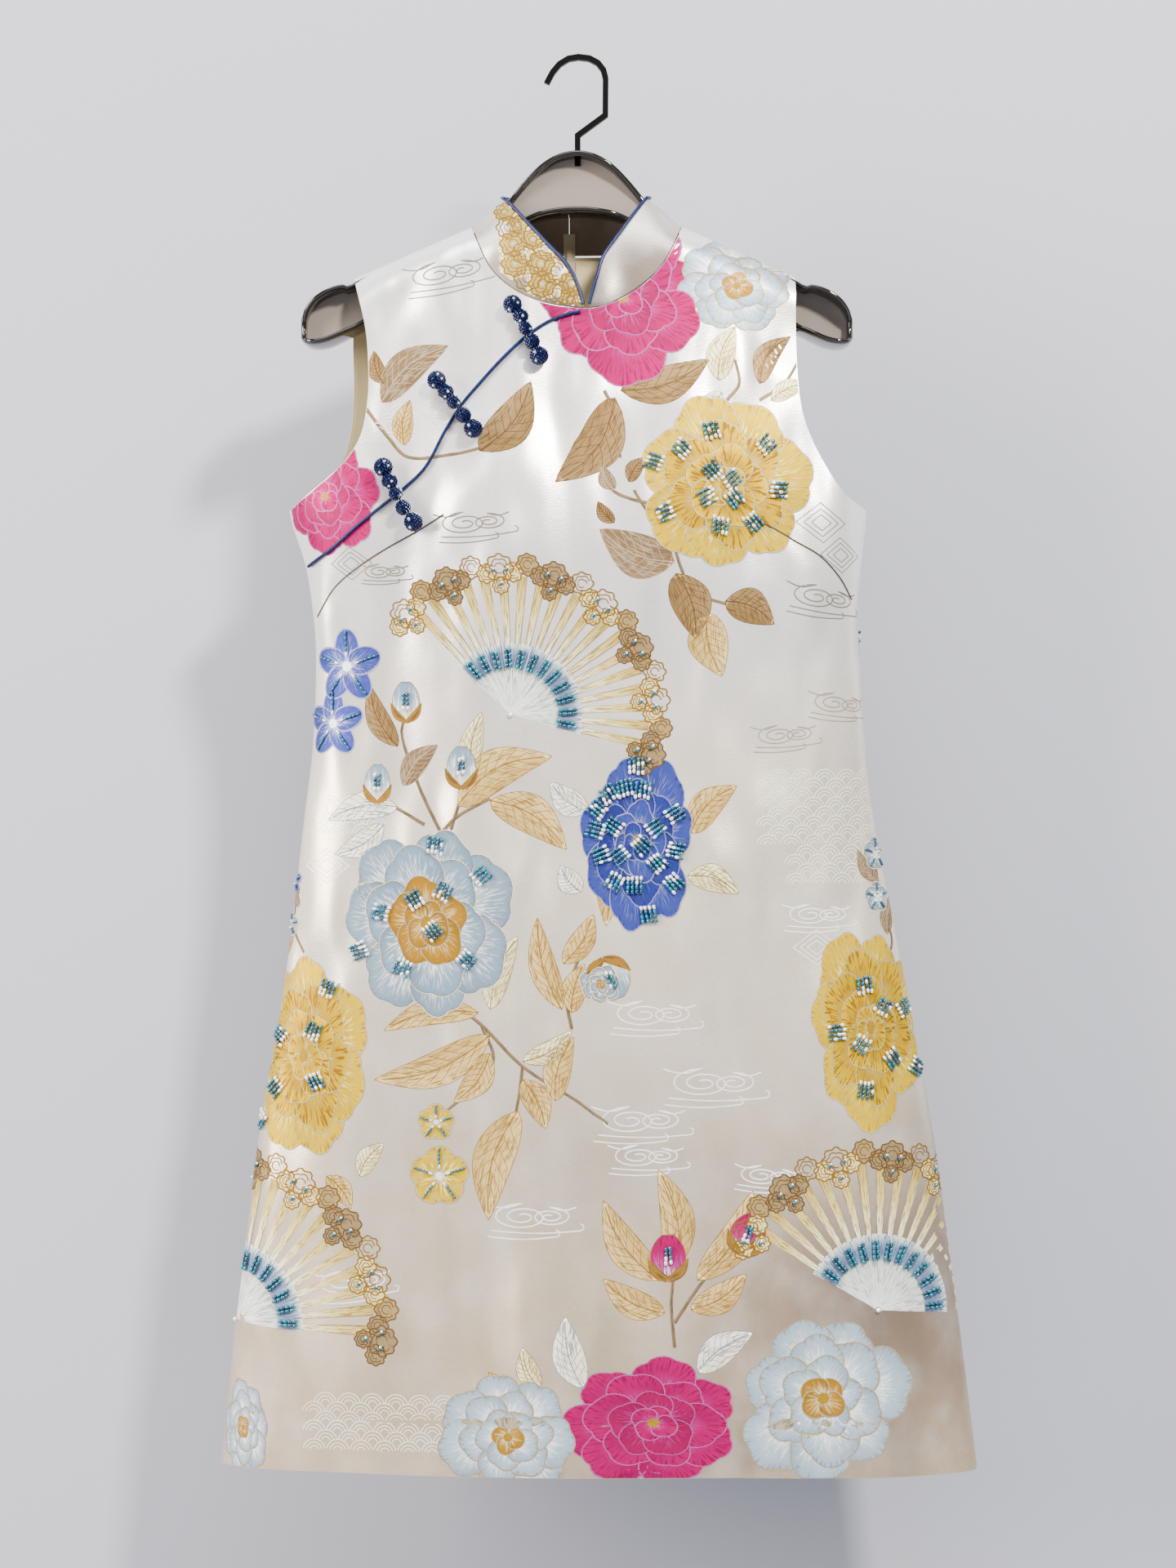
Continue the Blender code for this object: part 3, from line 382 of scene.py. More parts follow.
def round_place(x, z, front):
    """The distance round from the middle to a place given by x and z."""
    x, z = np.asarray(x, float), np.asarray(z, float)
    left, right = form_at(z)[:2]
    c = np.clip((x - (left + right) / 2) / ((right - left) / 2), -1, 1)
    a = np.arccos(np.sign(c) * np.abs(c) ** (SECTION_POWER / 2))
    half = (right - left) / 2
    depth = form_at(z)[2 if front else 3]
    result = []
    for angle, h, d in np.broadcast(a, half, depth):
        steps = np.linspace(math.pi / 2, angle, 60)
        bent = np.sign(np.cos(steps)) * np.abs(np.cos(steps)) ** (2 / SECTION_POWER)
        run = np.hypot(np.diff(bent * h), np.diff(np.sin(steps) * d)).sum()
        result.append(run if angle < math.pi / 2 else -run)
    return np.array(result).reshape(np.shape(a))


def at_pixel(px, py):
    """The place on the front that shows at a pixel of the photograph."""
    x, z, y = 0.0, 0.0, -45.0
    for _ in range(4):
        x, z = seen_at(px, py, y)
        s = float(round_place(x, z, True))
        y = float(cloth(s, z, True)[1])
    return s, z


# meshes

def signed_distance(s, z, outline):
    """Distance to a closed outline, above 0 inside it."""
    best = np.full(len(s), 1e9)
    inside = np.zeros(len(s), bool)
    p = np.asarray(outline, float)
    for a, b in zip(p, np.roll(p, -1, axis=0)):
        d = b - a
        t = np.clip(((s - a[0]) * d[0] + (z - a[1]) * d[1]) / max(np.dot(d, d), 1e-12), 0, 1)
        best = np.minimum(best, np.hypot(s - a[0] - t * d[0], z - a[1] - t * d[1]))
        if a[1] != b[1]:
            crosses = (a[1] > z) != (b[1] > z)
            inside ^= crosses & (s < d[0] * (z - a[1]) / d[1] + a[0])
    return np.where(inside, best, -best)


def clip(tris, value):
    """Cut triangles at value = 0, keep the side above 0. Each corner is a row of numbers."""
    keep = value > 0
    count = keep.sum(axis=1)
    parts = [tris[count == 3]]
    for alone in (1, 2):
        some, v, k = tris[count == alone], value[count == alone], keep[count == alone]
        if not len(some):
            continue
        odd = np.argmax(k if alone == 1 else ~k, axis=1)
        rows = np.arange(len(some))
        a, b, c = some[rows, odd], some[rows, (odd + 1) % 3], some[rows, (odd + 2) % 3]
        va, vb, vc = v[rows, odd], v[rows, (odd + 1) % 3], v[rows, (odd + 2) % 3]
        ab = a + (b - a) * (va / (va - vb))[:, None]
        ac = a + (c - a) * (va / (va - vc))[:, None]
        if alone == 1:
            parts.append(np.stack([a, ab, ac], axis=1))
        else:
            parts.append(np.stack([ab, b, c], axis=1))
            parts.append(np.stack([ab, c, ac], axis=1))
    return np.concatenate(parts)


def weld(tris):
    """Corners that are the same become one: rows of corners, and triangles by number."""
    flat = np.round(tris.reshape(-1, tris.shape[2]), 4)
    keys = np.ascontiguousarray(flat).view([("", flat.dtype)] * flat.shape[1]).ravel()
    _, first, back = np.unique(keys, return_index=True, return_inverse=True)
    faces = back.reshape(-1, 3)
    whole = (faces[:, 0] != faces[:, 1]) & (faces[:, 1] != faces[:, 2]) & (faces[:, 2] != faces[:, 0])
    return flat[first], faces[whole]


def net_tris(net):
    """A net of corners as triangles."""
    a, b, c, d = net[:-1, :-1], net[:-1, 1:], net[1:, 1:], net[1:, :-1]
    k = net.shape[2]
    return np.concatenate([np.stack([a, b, c], axis=2).reshape(-1, 3, k),
                           np.stack([a, c, d], axis=2).reshape(-1, 3, k)])


def rim_edges(faces):
    """Edges that only one face has, in that face's direction."""
    edges = faces[:, [0, 1, 1, 2, 2, 0]].reshape(-1, 2)
    low, high = edges.min(axis=1), edges.max(axis=1)
    code = low.astype(np.int64) * (faces.max() + 1) + high
    _, back, count = np.unique(code, return_inverse=True, return_counts=True)
    return edges[count[back] == 1]


def mesh_object(name, points, faces, materials, indices=None, colours=None, vectors=None,
                smooth=True):
    """A new piece from points in millimetres; every face has the same number of corners."""
    faces = np.asarray(faces)
    mesh = bpy.data.meshes.new(name)
    corners = faces.shape[1]
    mesh.vertices.add(len(points))
    mesh.vertices.foreach_set("co", (np.asarray(points, float) * MM).astype(np.float32).ravel())
    mesh.loops.add(faces.size)
    mesh.loops.foreach_set("vertex_index", faces.astype(np.int32).ravel())
    mesh.polygons.add(len(faces))
    mesh.polygons.foreach_set("loop_start", np.arange(0, faces.size, corners, dtype=np.int32))
    if indices is not None:
        mesh.polygons.foreach_set("material_index", np.asarray(indices, dtype=np.int32))
    mesh.update(calc_edges=True)
    for key, values in (colours or {}).items():
        layer = mesh.attributes.new(key, "FLOAT_COLOR", "POINT")
        rows = np.concatenate([values, np.ones((len(values), 1))], axis=1)
        layer.data.foreach_set("color", rows.astype(np.float32).ravel())
    for key, values in (vectors or {}).items():
        layer = mesh.attributes.new(key, "FLOAT_VECTOR", "POINT")
        layer.data.foreach_set("vector", np.asarray(values, np.float32).ravel())
    if smooth:
        mesh.polygons.foreach_set("use_smooth", np.ones(len(faces), bool))
    for made in materials:
        mesh.materials.append(made)
    mesh.validate()
    obj = bpy.data.objects.new(name, mesh)
    bpy.context.scene.collection.objects.link(obj)
    return obj


def shell_object(name, outer, inner, faces, materials):
    """A thin wall between two faces with the same corners; inside takes the second material."""
    rim = rim_edges(faces)
    count = len(outer)
    a, b = rim[:, 0], rim[:, 1]
    ids = np.unique(rim)
    place = np.zeros(count, int)
    place[ids] = np.arange(len(ids))
    out_rim, in_rim = 2 * count + place, 2 * count + len(ids) + place
    rim_faces = np.concatenate([np.stack([out_rim[b], out_rim[a], in_rim[a]], axis=1),
                                np.stack([out_rim[b], in_rim[a], in_rim[b]], axis=1)])
    points = np.concatenate([outer, inner, outer[ids], inner[ids]])
    all_faces = np.concatenate([faces, faces[:, ::-1] + count, rim_faces])
    indices = np.concatenate([np.zeros(len(faces)), np.ones(len(faces)), np.zeros(len(rim_faces))])
    return mesh_object(name, points, all_faces, materials, indices)


def surface_area(points, faces):
    a, b, c = (points[faces[:, k]] for k in range(3))
    return float(np.linalg.norm(np.cross(b - a, c - a), axis=1).sum() / 2) * MM * MM


def turn_out(points, faces, front):
    """The faces, with their corners' order set so that they face outwards."""
    a, b, c = (points[faces[:, k]] for k in range(3))
    facing = np.cross(b - a, c - a)[:, 1].sum()
    return faces if (facing < 0) == front else faces[:, ::-1]


# materials

def add(tree, kind, inputs=(), **settings):
    """One node, with its settings, and its inputs given as values or as links."""
    made = tree.nodes.new(kind)
    for key, value in settings.items():
        setattr(made, key, value)
    for key, value in dict(inputs).items():
        socket = made.inputs[key]
        if isinstance(value, bpy.types.NodeSocket):
            tree.links.new(value, socket)
        else:
            socket.default_value = value
    return made


def new_material(name, **constants):
    made = bpy.data.materials.new(name)
    made.use_nodes = True
    shader = made.node_tree.nodes["Principled BSDF"]
    for key, value in constants.items():
        shader.inputs[key.replace("_", " ")].default_value = value
    return made, made.node_tree, shader


def rgba(hex_colour):
    return (*strong(hex_colour), 1.0)


def mixed(tree, factor, low, high, blend="MIX"):
    made = add(tree, "ShaderNodeMix", {0: factor, 6: low, 7: high}, data_type="RGBA",
               blend_type=blend)
    return made.outputs[2]


def ranged(tree, value, from_low, from_high, to_low=0.0, to_high=1.0):
    made = add(tree, "ShaderNodeMapRange",
               {"Value": value, "From Min": from_low, "From Max": from_high, "To Min": to_low,
                "To Max": to_high}, interpolation_type="SMOOTHSTEP")
    return made.outputs["Result"]


def noise(tree, coords, scale, stretch=(1, 1, 1), detail=2.0):
    moved = add(tree, "ShaderNodeMapping", {"Vector": coords, "Scale": stretch})
    made = add(tree, "ShaderNodeTexNoise",
               {"Vector": moved.outputs["Vector"], "Scale": scale, "Detail": detail})
    return made.outputs["Fac"]


def bumped(tree, shader, height, strength, distance):
    made = add(tree, "ShaderNodeBump", {"Height": height, "Strength": strength,
                                        "Distance": distance})
    tree.links.new(made.outputs["Normal"], shader.inputs["Normal"])


def brocade_material(name, top, middle, bottom, heights):
    # Silk satin ground: ivory where it is high, warmer and duller low down; on the collar this is painted
    # shade, on the dress partly the cloth's own tone and partly painted shade; it glows unevenly
    made, tree, shader = new_material(name, Roughness=0.34, Metallic=0.58)
    coords = add(tree, "ShaderNodeTexCoord").outputs["Object"]
    height = add(tree, "ShaderNodeSeparateXYZ", {"Vector": coords}).outputs["Z"]
    upper = mixed(tree, ranged(tree, height, heights[1], heights[2]), rgba(middle), rgba(top))
    base = mixed(tree, ranged(tree, height, heights[0], heights[1]), rgba(bottom), upper)
    # Mauve-taupe clouds, a hand wide, low on the skirt and mostly on its right: partly the cloth's own
    # mottled tone, partly painted shade of its folds and of its darker right side
    side = add(tree, "ShaderNodeSeparateXYZ", {"Vector": coords}).outputs["X"]
    aside = ranged(tree, side, -0.16, 0.22, 0.25, 1.0)
    cloud = ranged(tree, noise(tree, coords, 2.6, (1.0, 1.0, 2.0), 1.0), 0.20, 0.80)
    lower = ranged(tree, height, -0.62, -1.0)
    strength = add(tree, "ShaderNodeMath", {0: cloud, 1: lower}, operation="MULTIPLY")
    strength = add(tree, "ShaderNodeMath", {0: strength.outputs[0], 1: aside}, operation="MULTIPLY")
    base = mixed(tree, strength.outputs[0], base, rgba("#B39B8A"))
    # Faint silvery watermarks of the weave, a few centimetres across
    marks = ranged(tree, noise(tree, coords, 24.0, (1, 1, 1), 3.0), 0.35, 0.70, 0.0, 0.18)
    base = mixed(tree, marks, base, rgba("#F1EEE8"))
    # Weft floats: short bright and dull dashes across the cloth
    floats = noise(tree, coords, 900.0, (0.35, 0.35, 1.6), 2.0)
    weave = ranged(tree, floats, 0.3, 0.7, 0.0, 0.10)
    base = mixed(tree, weave, base, rgba("#8E8173"))
    tree.links.new(base, shader.inputs["Base Color"])
    # Soft puckers, centimetres across, that make the satin glow unevenly
    puckers = noise(tree, coords, 6.0, (1.5, 1.0, 0.7), 2.0)
    soft = add(tree, "ShaderNodeBump", {"Height": puckers, "Strength": 1.0, "Distance": 0.042})
    fine = add(tree, "ShaderNodeBump", {"Height": floats, "Strength": 0.25, "Distance": 0.0004,
                                        "Normal": soft.outputs["Normal"]})
    tree.links.new(fine.outputs["Normal"], shader.inputs["Normal"])
    return made


def silk_material():
    # Coloured jacquard silk: floss strokes run along each petal and leaf
    made, tree, shader = new_material("jacquard_silk_floss", Roughness=0.45, Metallic=0.3,
                                      Specular_IOR_Level=0.1)
    tint = add(tree, "ShaderNodeAttribute", attribute_name="tint").outputs["Color"]
    thread = add(tree, "ShaderNodeAttribute", attribute_name="thread").outputs["Color"]
    strand = add(tree, "ShaderNodeAttribute", attribute_name="strand").outputs["Vector"]
    strokes = noise(tree, strand, 1.0, (0.10, 0.85, 1.0), 3.0)
    stroke = ranged(tree, strokes, 0.50, 0.60, 0.0, 0.85)
    colour = mixed(tree, stroke, tint, thread)
    tree.links.new(colour, shader.inputs["Base Color"])
    bumped(tree, shader, strokes, 0.3, 0.0005)
    return made


def lining_material():
    # Cream satin lining: smooth, with long soft lights
    made, tree, shader = new_material("cream_satin_lining", Roughness=0.38, Sheen_Weight=0.2)
    coords = add(tree, "ShaderNodeTexCoord").outputs["Object"]
    soft = ranged(tree, noise(tree, coords, 14.0, (1, 1, 0.4)), 0.3, 0.7)
    base = mixed(tree, soft, rgba("#D9CBA0"), rgba("#E6D9B6"))
    tree.links.new(base, shader.inputs["Base Color"])
    bumped(tree, shader, noise(tree, coords, 60.0, (1, 1, 0.3)), 0.2, 0.001)
    return made


def collar_lining_material():
    # Inside of the collar: taupe, partly the backing of the brocade and partly painted shade inside the
    # neck
    made, tree, shader = new_material("collar_inside_taupe_and_shade", Roughness=0.6)
    coords = add(tree, "ShaderNodeTexCoord").outputs["Object"]
    base = mixed(tree, noise(tree, coords, 70.0), rgba("#9C8A78"), rgba("#B5A390"))
    tree.links.new(base, shader.inputs["Base Color"])
    return made


def piping_material():
    # Navy satin bias cord: bright along its crown, dark at its foot
    made, tree, shader = new_material("navy_satin_cord", Roughness=0.36, Specular_IOR_Level=0.25)
    coords = add(tree, "ShaderNodeTexCoord").outputs["Object"]
    twill = noise(tree, coords, 700.0, (1, 1, 1), 1.0)
    base = mixed(tree, ranged(tree, twill, 0.35, 0.7), rgba("#141F48"), rgba("#263880"))
    tree.links.new(base, shader.inputs["Base Color"])
    bumped(tree, shader, twill, 0.2, 0.0003)
    return made


def glass_bead_material():
    # Seed beads: tinted glass with a silver lining that flashes
    made, tree, shader = new_material("silver_lined_seed_beads", Roughness=0.12, Metallic=0.45,
                                      Coat_Weight=1.0, Coat_Roughness=0.05)
    tint = add(tree, "ShaderNodeAttribute", attribute_name="tint").outputs["Color"]
    tree.links.new(tint, shader.inputs["Base Color"])
    return made


def crystal_material():
    # Faceted midnight-blue beads of the knots
    made, _, shader = new_material("midnight_crystal_beads", Roughness=0.05, Metallic=0.5,
                                   Specular_IOR_Level=1.0)
    shader.inputs["Base Color"].default_value = rgba("#1B2A66")
    return made


def smoked_material():
    # Smoked clear plastic: a brown-grey plate with a mirror-bright skin
    made, _, shader = new_material("smoked_clear_plastic", Roughness=0.12, IOR=1.49,
                                   Specular_IOR_Level=0.3)
    shader.inputs["Base Color"].default_value = rgba("#B4ABA4")
    return made


def plain(name, hex_colour, **constants):
    made, _, shader = new_material(name, **constants)
    shader.inputs["Base Color"].default_value = rgba(hex_colour)
    return made


# Ivory high on the dress, warmer and darker low down: partly the cloth's own tone, partly painted shade of
# the lower skirt
BROCADE = brocade_material("brocade_satin_ground", "#F0ECE3", "#E8E0D2", "#E8D6BC", (-1.06, -0.66, -0.28))
# The collar darkens from its top edge down to its foot: painted shade
COLLAR_CLOTH = brocade_material("brocade_satin_collar_painted_shade", "#DDD7CF", "#BFB2A4", "#978A7D",
                                (-0.215, -0.165, -0.12))
SILK = silk_material()
LINING = lining_material()
COLLAR_BACKING = collar_lining_material()
CORD = piping_material()
BEAD = glass_bead_material()
CRYSTAL = crystal_material()
SMOKED = smoked_material()
RIM = plain("thick_smoked_rim", "#1B1715", Roughness=0.09, Coat_Weight=0.5, Coat_Roughness=0.03)
# Pale beads among the blue ones: painted glints, they flash white
GLINT_BEADS = plain("pale_beads_painted_glints", "#DCE6F6", Roughness=0.05, Metallic=0.5)
# Satin black enamel on the hook
HOOK_BLACK = plain("black_enamelled_steel", "#060606", Roughness=0.4, Specular_IOR_Level=0.08)
# Woven polyester tape of the zip
TAPE = plain("zip_tape_weave", "#D8CBB0", Roughness=0.7)
# Plated metal of the slider and its pull tab
PLATED = plain("plated_zip_metal", "#C9BDA6", Roughness=0.25, Metallic=1.0)


# outlines in places round the body

def placed(points, front):
    p = np.array(points, float)
    return np.stack([round_place(p[:, 0], p[:, 1], front), p[:, 1]], axis=1)


def upper_outline(front):
    """Everything inside the armholes and the neck; the sides and the hem stay open."""
    arm = FRONT_ARMHOLE if front else BACK_ARMHOLE
    right = spline(arm["right"], even(48))
    left = spline(arm["left"], even(48))
    neck = FRONT_NECK if front else BACK_NECK
    if front:
        curve = np.concatenate([spline(neck["right"], even(40))[::-1],
                                spline(neck["left"], even(40))])
    else:
        curve = np.concatenate([spline(neck["right"], even(40)), spline(neck["left"], even(40))[::-1]])
    body = np.concatenate([placed(right, front), placed(curve, front), placed(left[::-1], front)])
    far = 420.0
    first = np.array([(-far, -1300.0), (far, -1300.0), (far, UNDERARM_Z)])
    over = np.array([(165.2, -60.0), (80.6, -60.0)]), np.array([(-80.6, -60.0), (-169.1, -60.0)])
    n = len(right)
    m = len(curve)
    return np.concatenate([first, body[:n], over[0], body[n:n + m], over[1], body[n + m:],
                           np.array([(-far, UNDERARM_Z)])])


OUTLINE = {True: upper_outline(True), False: upper_outline(False)}
OPENING_RUN = placed(spline(OPENING, even(60)), True)
YOKE_SIDE = np.concatenate([OPENING_RUN, [(OPENING_RUN[-1][0], -20.0), (-420.0, -20.0),
                                          (-420.0, OPENING_RUN[0][1] - 60.0),
                                          (OPENING_RUN[0][0] - 40.0, OPENING_RUN[0][1] - 26.0)]])


def inside(s, z, front, margin=0.0):
    """Above 0 on the cloth: within the armholes, neck, sides and hem."""
    upper = signed_distance(s, z, OUTLINE[front])
    side = half_arc(z, front) * 0.9985 - np.abs(s)
    x = cloth(s, z, front)[:, 0]
    ends = np.minimum(z - hem_z(x), shoulder_z(x) - z)
    return np.minimum(np.minimum(upper, side), ends) - margin


# panels

def panel_net(front, columns, rows):
    """Places on the whole front or back, close together where the cloth goes over the arms."""
    share = np.linspace(-1, 1, columns + 1)
    drop = 30.0
    ridge = 14
    k = np.arange(ridge + 1) / ridge
    down = np.concatenate([drop * k**2, np.linspace(drop, 941.0, rows + 1)[1:]])
    t, d = np.meshgrid(share, down)
    z = -128.2 - d
    for _ in range(6):
        s = t * half_arc(z, front)
        x = cloth(s, z, front)[..., 0]
        top = shoulder_z(x)
        z = top - d * (top - hem_z(x)) / 941.0
    return np.stack([t * half_arc(z, front), z], axis=-1)


def panel_shell(name, tris, front, nodes):
    places, faces = weld(tris)
    s, z = places[:, 0], places[:, 1]
    outer = cloth(s, z, front)
    normal = cloth_normal(s, z, front)
    faces = turn_out(outer, faces, front)
    inner = outer - normal * PANEL_WALL
    limit = SEAM_GAP / 2
    for points in (outer, inner):
        points[:, 1] = np.minimum(points[:, 1], -limit) if front else np.maximum(points[:, 1], limit)
    obj = shell_object(name, outer, inner, faces, [BROCADE, LINING])
    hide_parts(*nodes)
    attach(obj, "dress")
    return obj, surface_area(outer, faces)


def cut(tris, function):
    flat = tris.reshape(-1, tris.shape[2])
    return clip(tris, function(flat[:, 0], flat[:, 1]).reshape(-1, 3))


front_tris = net_tris(panel_net(True, 132, 190))
front_tris = cut(front_tris, lambda s, z: signed_distance(s, z, OUTLINE[True]))
panel_tris = cut(front_tris, lambda s, z: -signed_distance(s, z, YOKE_SIDE) - SEAM_GAP / 2)
yoke_tris = cut(front_tris, lambda s, z: signed_distance(s, z, YOKE_SIDE) - SEAM_GAP / 2)
front_panel, front_area = panel_shell("dress_front", panel_tris, True, ["front_panel"])
front_yoke, yoke_area = panel_shell("dress_yoke", yoke_tris, True, ["front_yoke"])

back_tris = net_tris(panel_net(False, 110, 150))
back_tris = cut(back_tris, lambda s, z: signed_distance(s, z, OUTLINE[False]))


def zip_side(s, z):
    seam = np.interp(z, [p[1] for p in CENTRE_BACK[::-1]], [p[0] for p in CENTRE_BACK[::-1]])
    return cloth(s, z, False)[:, 0] - seam


for side, sign in (("left", -1), ("right", 1)):
    some = cut(back_tris, lambda s, z: sign * zip_side(s, z) - SEAM_GAP / 2)
    panel_shell("dress_back_" + side, some, False, ["back_" + side])


def facing_shell(side, sign):
    """Cream facing inside one back, as far down as it shows."""
    tris = cut(back_tris, lambda s, z: np.minimum(sign * zip_side(s, z) - 4.9, z + 400.0))
    tris = cut(tris, lambda s, z: np.minimum(signed_distance(s, z, OUTLINE[False]) - 2.2,
                                             half_arc(z, False) - np.abs(s) - 4.0))
    tris = cut(tris, lambda s, z: shoulder_z(cloth(s, z, False)[:, 0]) - 5.0 - z)
    places, faces = weld(tris)
    s, z = places[:, 0], places[:, 1]
    skin = cloth(s, z, False)
    normal = cloth_normal(s, z, False)
    faces = turn_out(skin, faces, False)
    outer, inner = skin - normal * 2.4, skin - normal * 3.2
    obj = shell_object("facing_cream_" + side, outer, inner, faces, [LINING, LINING])
    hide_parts("facing_" + side)
    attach(obj, "dress")
    return obj, surface_area(outer, faces)


facings = {side: facing_shell(side, sign) for side, sign in (("left", -1), ("right", 1))}


# collar

def cloth_at_x(points, front):
    p = np.array(points, float)
    return cloth(round_place(p[:, 0], p[:, 1], front), p[:, 1], front)


def neck_run(side, front_steps, back_steps):
    front = cloth_at_x(spline(FRONT_NECK[side], even(front_steps)), True)
    back = cloth_at_x(spline(BACK_NECK[side], even(back_steps)), False)
    return np.concatenate([front, back[1:]])


def collar_edge(side, front_steps, back_steps):
    return np.concatenate([spline(COLLAR_EDGE[side], even(front_steps)),
                           spline(COLLAR_BACK[side], even(back_steps))[1:]])


def collar_net(side, front_steps=60, back_steps=34, rows=12):
    """Points on the collar's outer face, from the neck seam up to its free edge."""
    sign = -1 if side == "left" else 1
    foot = neck_run(side, front_steps, back_steps)
    edge = collar_edge(side, front_steps, back_steps)
    rise = edge - foot
    foot = foot + rise / np.linalg.norm(rise, axis=1)[:, None] * 1.0
    t = np.linspace(0, 1, rows + 1)[:, None, None]
    net = foot[None] * (1 - t) + edge[None] * t
    normal = np.cross(np.gradient(net, axis=1), np.gradient(net, axis=0))
    normal /= np.linalg.norm(normal, axis=2)[:, :, None]
    outward = net - np.array((0.0, 2.0, 0.0))
    outward[..., 2] = 0
    if np.sum(normal * outward) < 0:
        normal = -normal
    net = net + normal * 0.7 * np.sin(math.pi * t)
    seam_x = BACK_NECK["left"][-1][0] + sign * SEAM_GAP / 2
    net[:, -1, 0] = seam_x
    return net, normal


def make_collar(side):
    sign = -1 if side == "left" else 1
    net, normal = collar_net(side)
    rows = np.concatenate([net, normal], axis=2)
    corners, faces = weld(net_tris(rows))
    outer, out = corners[:, :3], corners[:, 3:6]
    a, b, c = (outer[faces[:, k]] for k in range(3))
    if np.sum(np.cross(b - a, c - a) * out[faces[:, 0]]) < 0:
        faces = faces[:, ::-1]
    inner = outer - out * COLLAR_WALL
    seam_x = BACK_NECK["left"][-1][0] + sign * SEAM_GAP / 2
    behind = inner[:, 1] > 0
    inner[behind, 0] = (np.minimum if sign < 0 else np.maximum)(inner[behind, 0], seam_x)
    obj = shell_object("dress_collar_" + side, outer, inner, faces, [COLLAR_CLOTH, COLLAR_BACKING])
    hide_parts("collar_" + side)
    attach(obj, "dress")
    return obj, surface_area(outer, faces)


collars = {side: make_collar(side) for side in ("left", "right")}


# piping

def tube(name, points, radius, material, sides=3):
    curve = bpy.data.curves.new(name, "CURVE")
    curve.dimensions = "3D"
    curve.bevel_depth = radius * MM
    curve.bevel_resolution = sides
    curve.use_fill_caps = True
    line = curve.splines.new("POLY")
    line.points.add(len(points) - 1)
    for spot, point in zip(line.points, points):
        spot.co = (*(np.array(point) * MM), 1.0)
    line.use_smooth = True
    curve.materials.append(material)
    obj = bpy.data.objects.new(name, curve)
    bpy.context.scene.collection.objects.link(obj)
    return obj


def dressed(obj, node):
    if node:
        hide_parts(node)
    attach(obj, "dress")
    return obj


opening_places = OPENING_RUN[1:-1]
opening_line = cloth(opening_places[:, 0], opening_places[:, 1], True)
opening_line = opening_line + 1.7 * cloth_normal(opening_places[:, 0], opening_places[:, 1], True)
dressed(tube("cord_opening", opening_line, PIPING_RADIUS, CORD), "piping_opening")
for side, sign in (("left", -1), ("right", 1)):
    net, normal = collar_net(side)
    edge = net[-1] + normal[-1] * 0.9
    rise = net[-1] - net[-2]
    edge = edge - rise / np.linalg.norm(rise, axis=1)[:, None] * 0.2
    edge[-1, 0] += sign * 0.6
    dressed(tube("cord_collar_" + side, edge, PIPING_RADIUS, CORD), "piping_collar_" + side)


# the woven pattern: rows of place, height, tint, thread colour and strand

COLUMNS = 12
PETAL_OPENING = 1.35
PATTERN = {True: [], False: [], "collar": []}
BEADS = {True: [], False: []}


class Spot:
    """Where a motif is drawn: its side, its middle, its turn, and its scale each way."""

    def __init__(self, front, middle, turn=0.0, wide=1.0, tall=1.0, lift=0.16):
        self.front, self.middle, self.lift = front, np.array(middle, float), lift
        self.turn, self.scale = math.radians(turn), np.array((wide, tall))
        self.seed = (middle[0] * 0.37 + middle[1] * 0.11) % 50.0

    def place(self, points):
        c, s = math.cos(self.turn), math.sin(self.turn)
        p = np.asarray(points, float)
        turned = np.stack([p[..., 0] * c - p[..., 1] * s, p[..., 0] * s + p[..., 1] * c], axis=-1)
        return turned * self.scale + self.middle


def draw(spot, net, rise, tint, thread, strand):
    rows = np.empty(net.shape[:2] + (COLUMNS,))
    rows[..., 0:2] = spot.place(net)
    rows[..., 2] = spot.lift + rise
    rows[..., 3:6] = tint
    rows[..., 6:9] = thread
    rows[..., 9:11] = strand
    rows[..., 11] = spot.seed
    PATTERN[spot.front].append(net_tris(rows))


def ribbon(points, width):
    p = np.asarray(points, float)
    d = np.gradient(p, axis=0)
    n = np.stack([-d[:, 1], d[:, 0]], axis=1) / np.maximum(np.linalg.norm(d, axis=1), 1e-9)[:, None]
    w = np.broadcast_to(np.asarray(width, float), (len(p),))[:, None] / 2
    return np.stack([p - n * w, p + n * w], axis=1)


def line(spot, points, width, rise, colour, thread=None):
    """A woven line; its strand runs along it."""
    net = ribbon(points, width)
    run = np.concatenate([[0], np.cumsum(np.linalg.norm(np.diff(points, axis=0), axis=1))])
    across = np.broadcast_to(np.asarray(width, float), (len(run),))
    strand = np.stack([np.stack([run, -across / 2], axis=1), np.stack([run, across / 2], axis=1)],
                      axis=1)
    colour = strong(colour)
    draw(spot, net, rise, colour, strong(thread) if thread else colour * 0.82, strand)


def ramp(u, colours):
    """Colours from base to tip, given as hex, at shares u."""
    at = np.linspace(0, 1, len(colours))
    table = np.array([strong(c) for c in colours])
    return np.stack([np.interp(u, at, table[:, k]) for k in range(3)], axis=-1)


